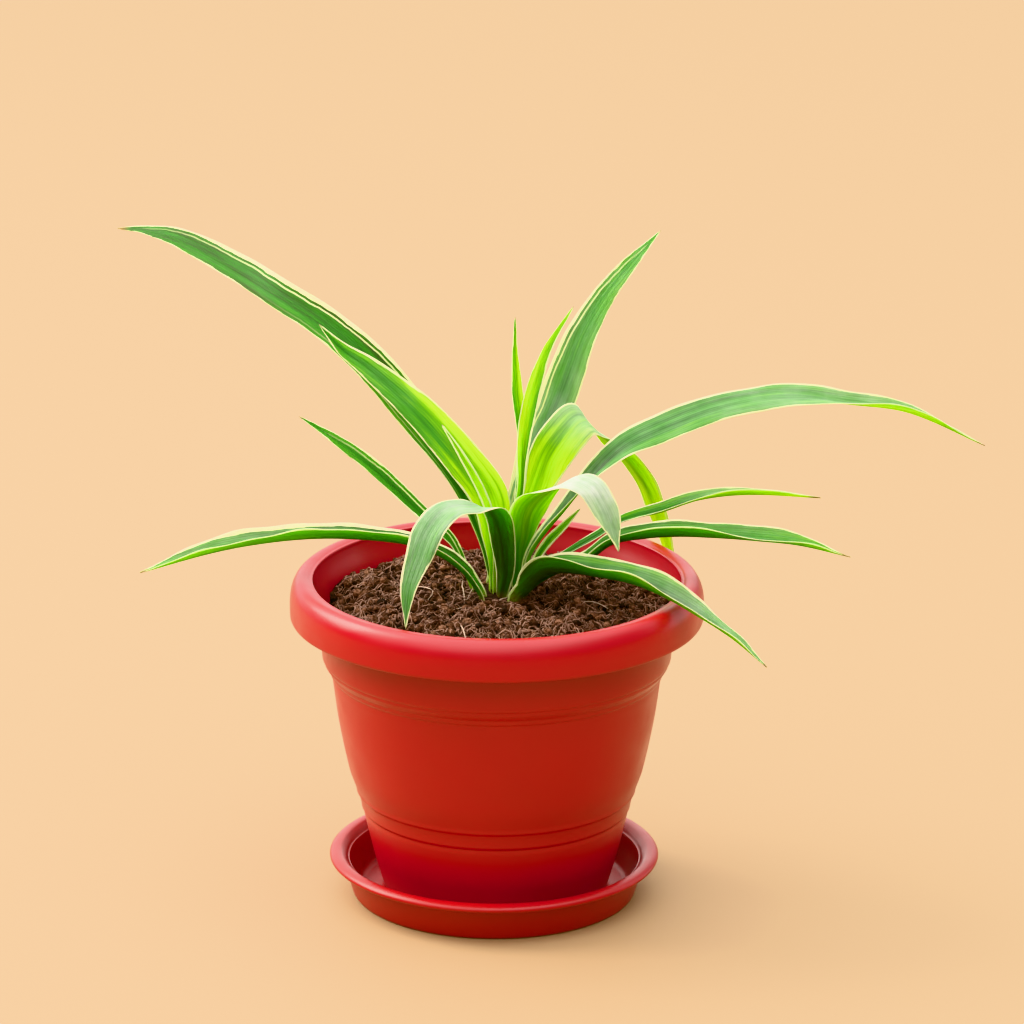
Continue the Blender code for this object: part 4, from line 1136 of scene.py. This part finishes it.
class PLANT_OT_crown(bpy.types.Operator):
    """Finish the rootstock that the leaves stand on"""
    bl_idname = "plant.finish_crown"
    bl_label = "Crown"

    def execute(self, context):
        settings = context.scene.plant_soil
        # A fleshy rootstock, grown and earthy: pale tissue under a film of brown soil.
        material, tree, shader = start_material("rootstock_fleshy", Roughness=0.7)
        place = add(tree, "TexCoord", out="Object")
        film = add(tree, "TexNoise", {"Vector": place, "Scale": 260.0, "Detail": 5.0})
        colour = add(tree, "ValToRGB", {0: film}, stops=[(0.35, settings.film), (0.7, settings.tissue)])
        bump = add(tree, "Bump", {"Height": film, "Strength": 0.5, "Distance": 0.0005})
        set_inputs(shader, {"Base Color": colour, "Normal": bump})
        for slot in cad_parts["crown"].material_slots:
            slot.material = material
        return {"FINISHED"}


# The camera, as it stood for the photograph: place in metres, turns in degrees, lens and sensor in mm
CAMERA_PLACE = (0.007, -3.0, 1.164)
CAMERA_TILT = 72.075
CAMERA_ROLL = 0.33
CAMERA_LENS = 230.6
CAMERA_SENSOR = 36.0
# Half the floor's side in metres
FLOOR_HALF = 12.0
# The lamps, in metres: where each hangs, its side, and where both face
KEY_PLACE = (-1.6, 0.5, 1.4)
KEY_SIDE = 1.3
SIDE_PLACE = (1.7, 0.8, 0.7)
SIDE_SIDE = 1.5
LAMP_TARGET = (0.0, 0.0, 0.12)
# Where the studio's light all round is strongest, as directions right, back and up, and the cosine of
# the angle from there at which it starts to grow
BRIGHT_CEILING = Vector((-0.1, -0.2, 0.97))
CEILING_START = 0.3
BRIGHT_WALL = Vector((-0.26, 0.92, 0.29))
WALL_START = 0.55


class PLANT_OT_stage(bpy.types.Operator):
    """Set the plain floor, the soft studio light and the camera"""
    bl_idname = "plant.set_stage"
    bl_label = "Stage"

    def execute(self, context):
        scene = context.scene
        settings = scene.plant_stage
        self.lay_floor(settings)
        self.hang_lamp("key_lamp", KEY_PLACE, KEY_SIDE, settings.key_power, "FFF4E4")
        self.hang_lamp("side_lamp", SIDE_PLACE, SIDE_SIDE, settings.side_power, "FFF8EE")
        self.light_walls(scene, settings)
        self.place_camera(scene)
        # A view that keeps strong reds and greens strong, and rolls off only the brightest light
        scene.view_settings.view_transform = "Khronos PBR Neutral"
        return {"FINISHED"}

    @staticmethod
    def light_walls(scene, settings):
        """The studio's pale walls: light all round that grows towards the ceiling and the back wall."""
        world = bpy.data.worlds.new("studio_air")
        world.use_nodes = True
        tree = world.node_tree
        toward = add(tree, "TexCoord", out="Generated")
        strength = settings.low_sky
        for direction, start, rise in ((BRIGHT_CEILING, CEILING_START, settings.top_sky),
                                       (BRIGHT_WALL, WALL_START, settings.back_sky)):
            facing = add(tree, "VectorMath", {0: toward, 1: direction}, out="Value", operation="DOT_PRODUCT")
            share = add(tree, "MapRange", {0: facing, 1: start}, interpolation_type="SMOOTHSTEP")
            strength = add(tree, "Math", {0: share, 1: rise, 2: strength}, operation="MULTIPLY_ADD")
        set_inputs(tree.nodes["Background"], {"Color": (*settings.sky, 1), "Strength": strength})
        scene.world = world

    @staticmethod
    def place_camera(scene):
        """The camera where it stood for the photograph."""
        lens = bpy.data.cameras.new("front_camera")
        lens.lens = CAMERA_LENS
        lens.sensor_width = CAMERA_SENSOR
        lens.clip_end = 100
        camera = show("front_camera", lens)
        camera.matrix_world = (Matrix.Translation(CAMERA_PLACE)
                               @ Matrix.Rotation(math.radians(CAMERA_TILT), 4, "X")
                               @ Matrix.Rotation(math.radians(CAMERA_ROLL), 4, "Z"))
        scene.camera = camera

    @staticmethod
    def lay_floor(settings):
        """A wide floor of matt painted board."""
        material, tree, shader = start_material("board_painted_matt", Roughness=0.75, Specular_IOR_Level=0.3)
        place = add(tree, "TexCoord", out="Object")
        grain = add(tree, "TexNoise", {"Vector": place, "Scale": 900.0, "Detail": 3.0})
        bump = add(tree, "Bump", {"Height": grain, "Strength": 0.1, "Distance": 0.0002})
        set_inputs(shader, {"Base Color": (*settings.floor, 1), "Normal": bump})
        mesh = bpy.data.meshes.new("studio_floor")
        half = FLOOR_HALF
        corners = [(-half, -half, 0), (half, -half, 0), (half, half, 0), (-half, half, 0)]
        mesh.from_pydata(corners, [], [(0, 1, 2, 3)])
        mesh.materials.append(material)
        floor = show("studio_floor", mesh)

    @staticmethod
    def hang_lamp(name, place, side, power, tint):
        """A square soft lamp that faces the pot."""
        light = bpy.data.lights.new(name, "AREA")
        light.shape = "SQUARE"
        light.size = side
        light.energy = power
        light.color = linear(tint)
        lamp = show(name, light)
        lamp.location = place
        lamp.rotation_euler = (Vector(LAMP_TARGET) - Vector(place)).to_track_quat("-Z", "Y").to_euler()


SETTINGS = (("plant_pot", PLANT_PG_pot), ("plant_soil", PLANT_PG_soil), ("plant_leaves", PLANT_PG_leaves),
            ("plant_stage", PLANT_PG_stage))
OPERATORS = (PLANT_OT_stage, PLANT_OT_pot, PLANT_OT_saucer, PLANT_OT_soil, PLANT_OT_crown, PLANT_OT_leaves)


class PLANT_PT_panel(bpy.types.Panel):
    """Lists the plant's pieces and its stage"""
    bl_idname = "PLANT_PT_panel"
    bl_label = "Potted spider plant"
    bl_space_type = "VIEW_3D"
    bl_region_type = "UI"
    bl_category = "Plant"

    def draw(self, context):
        for operator in OPERATORS:
            self.layout.operator(operator.bl_idname)
        for name, group in SETTINGS:
            box = self.layout.box()
            for field in group.__annotations__:
                box.prop(getattr(context.scene, name), field)


CLASSES = tuple(group for _, group in SETTINGS) + OPERATORS + (PLANT_PT_panel,)


def register():
    for kind in CLASSES:
        bpy.utils.register_class(kind)
    for name, group in SETTINGS:
        setattr(bpy.types.Scene, name, PointerProperty(type=group))


def unregister():
    for name, _ in SETTINGS:
        delattr(bpy.types.Scene, name)
    for kind in reversed(CLASSES):
        bpy.utils.unregister_class(kind)


def main():
    """Build every piece in order."""
    register()
    bpy.ops.plant.set_stage()
    bpy.ops.plant.make_pot()
    bpy.ops.plant.make_saucer()
    bpy.ops.plant.make_soil()
    bpy.ops.plant.finish_crown()
    bpy.ops.plant.make_leaves()


if __name__ == "__main__":
    main()
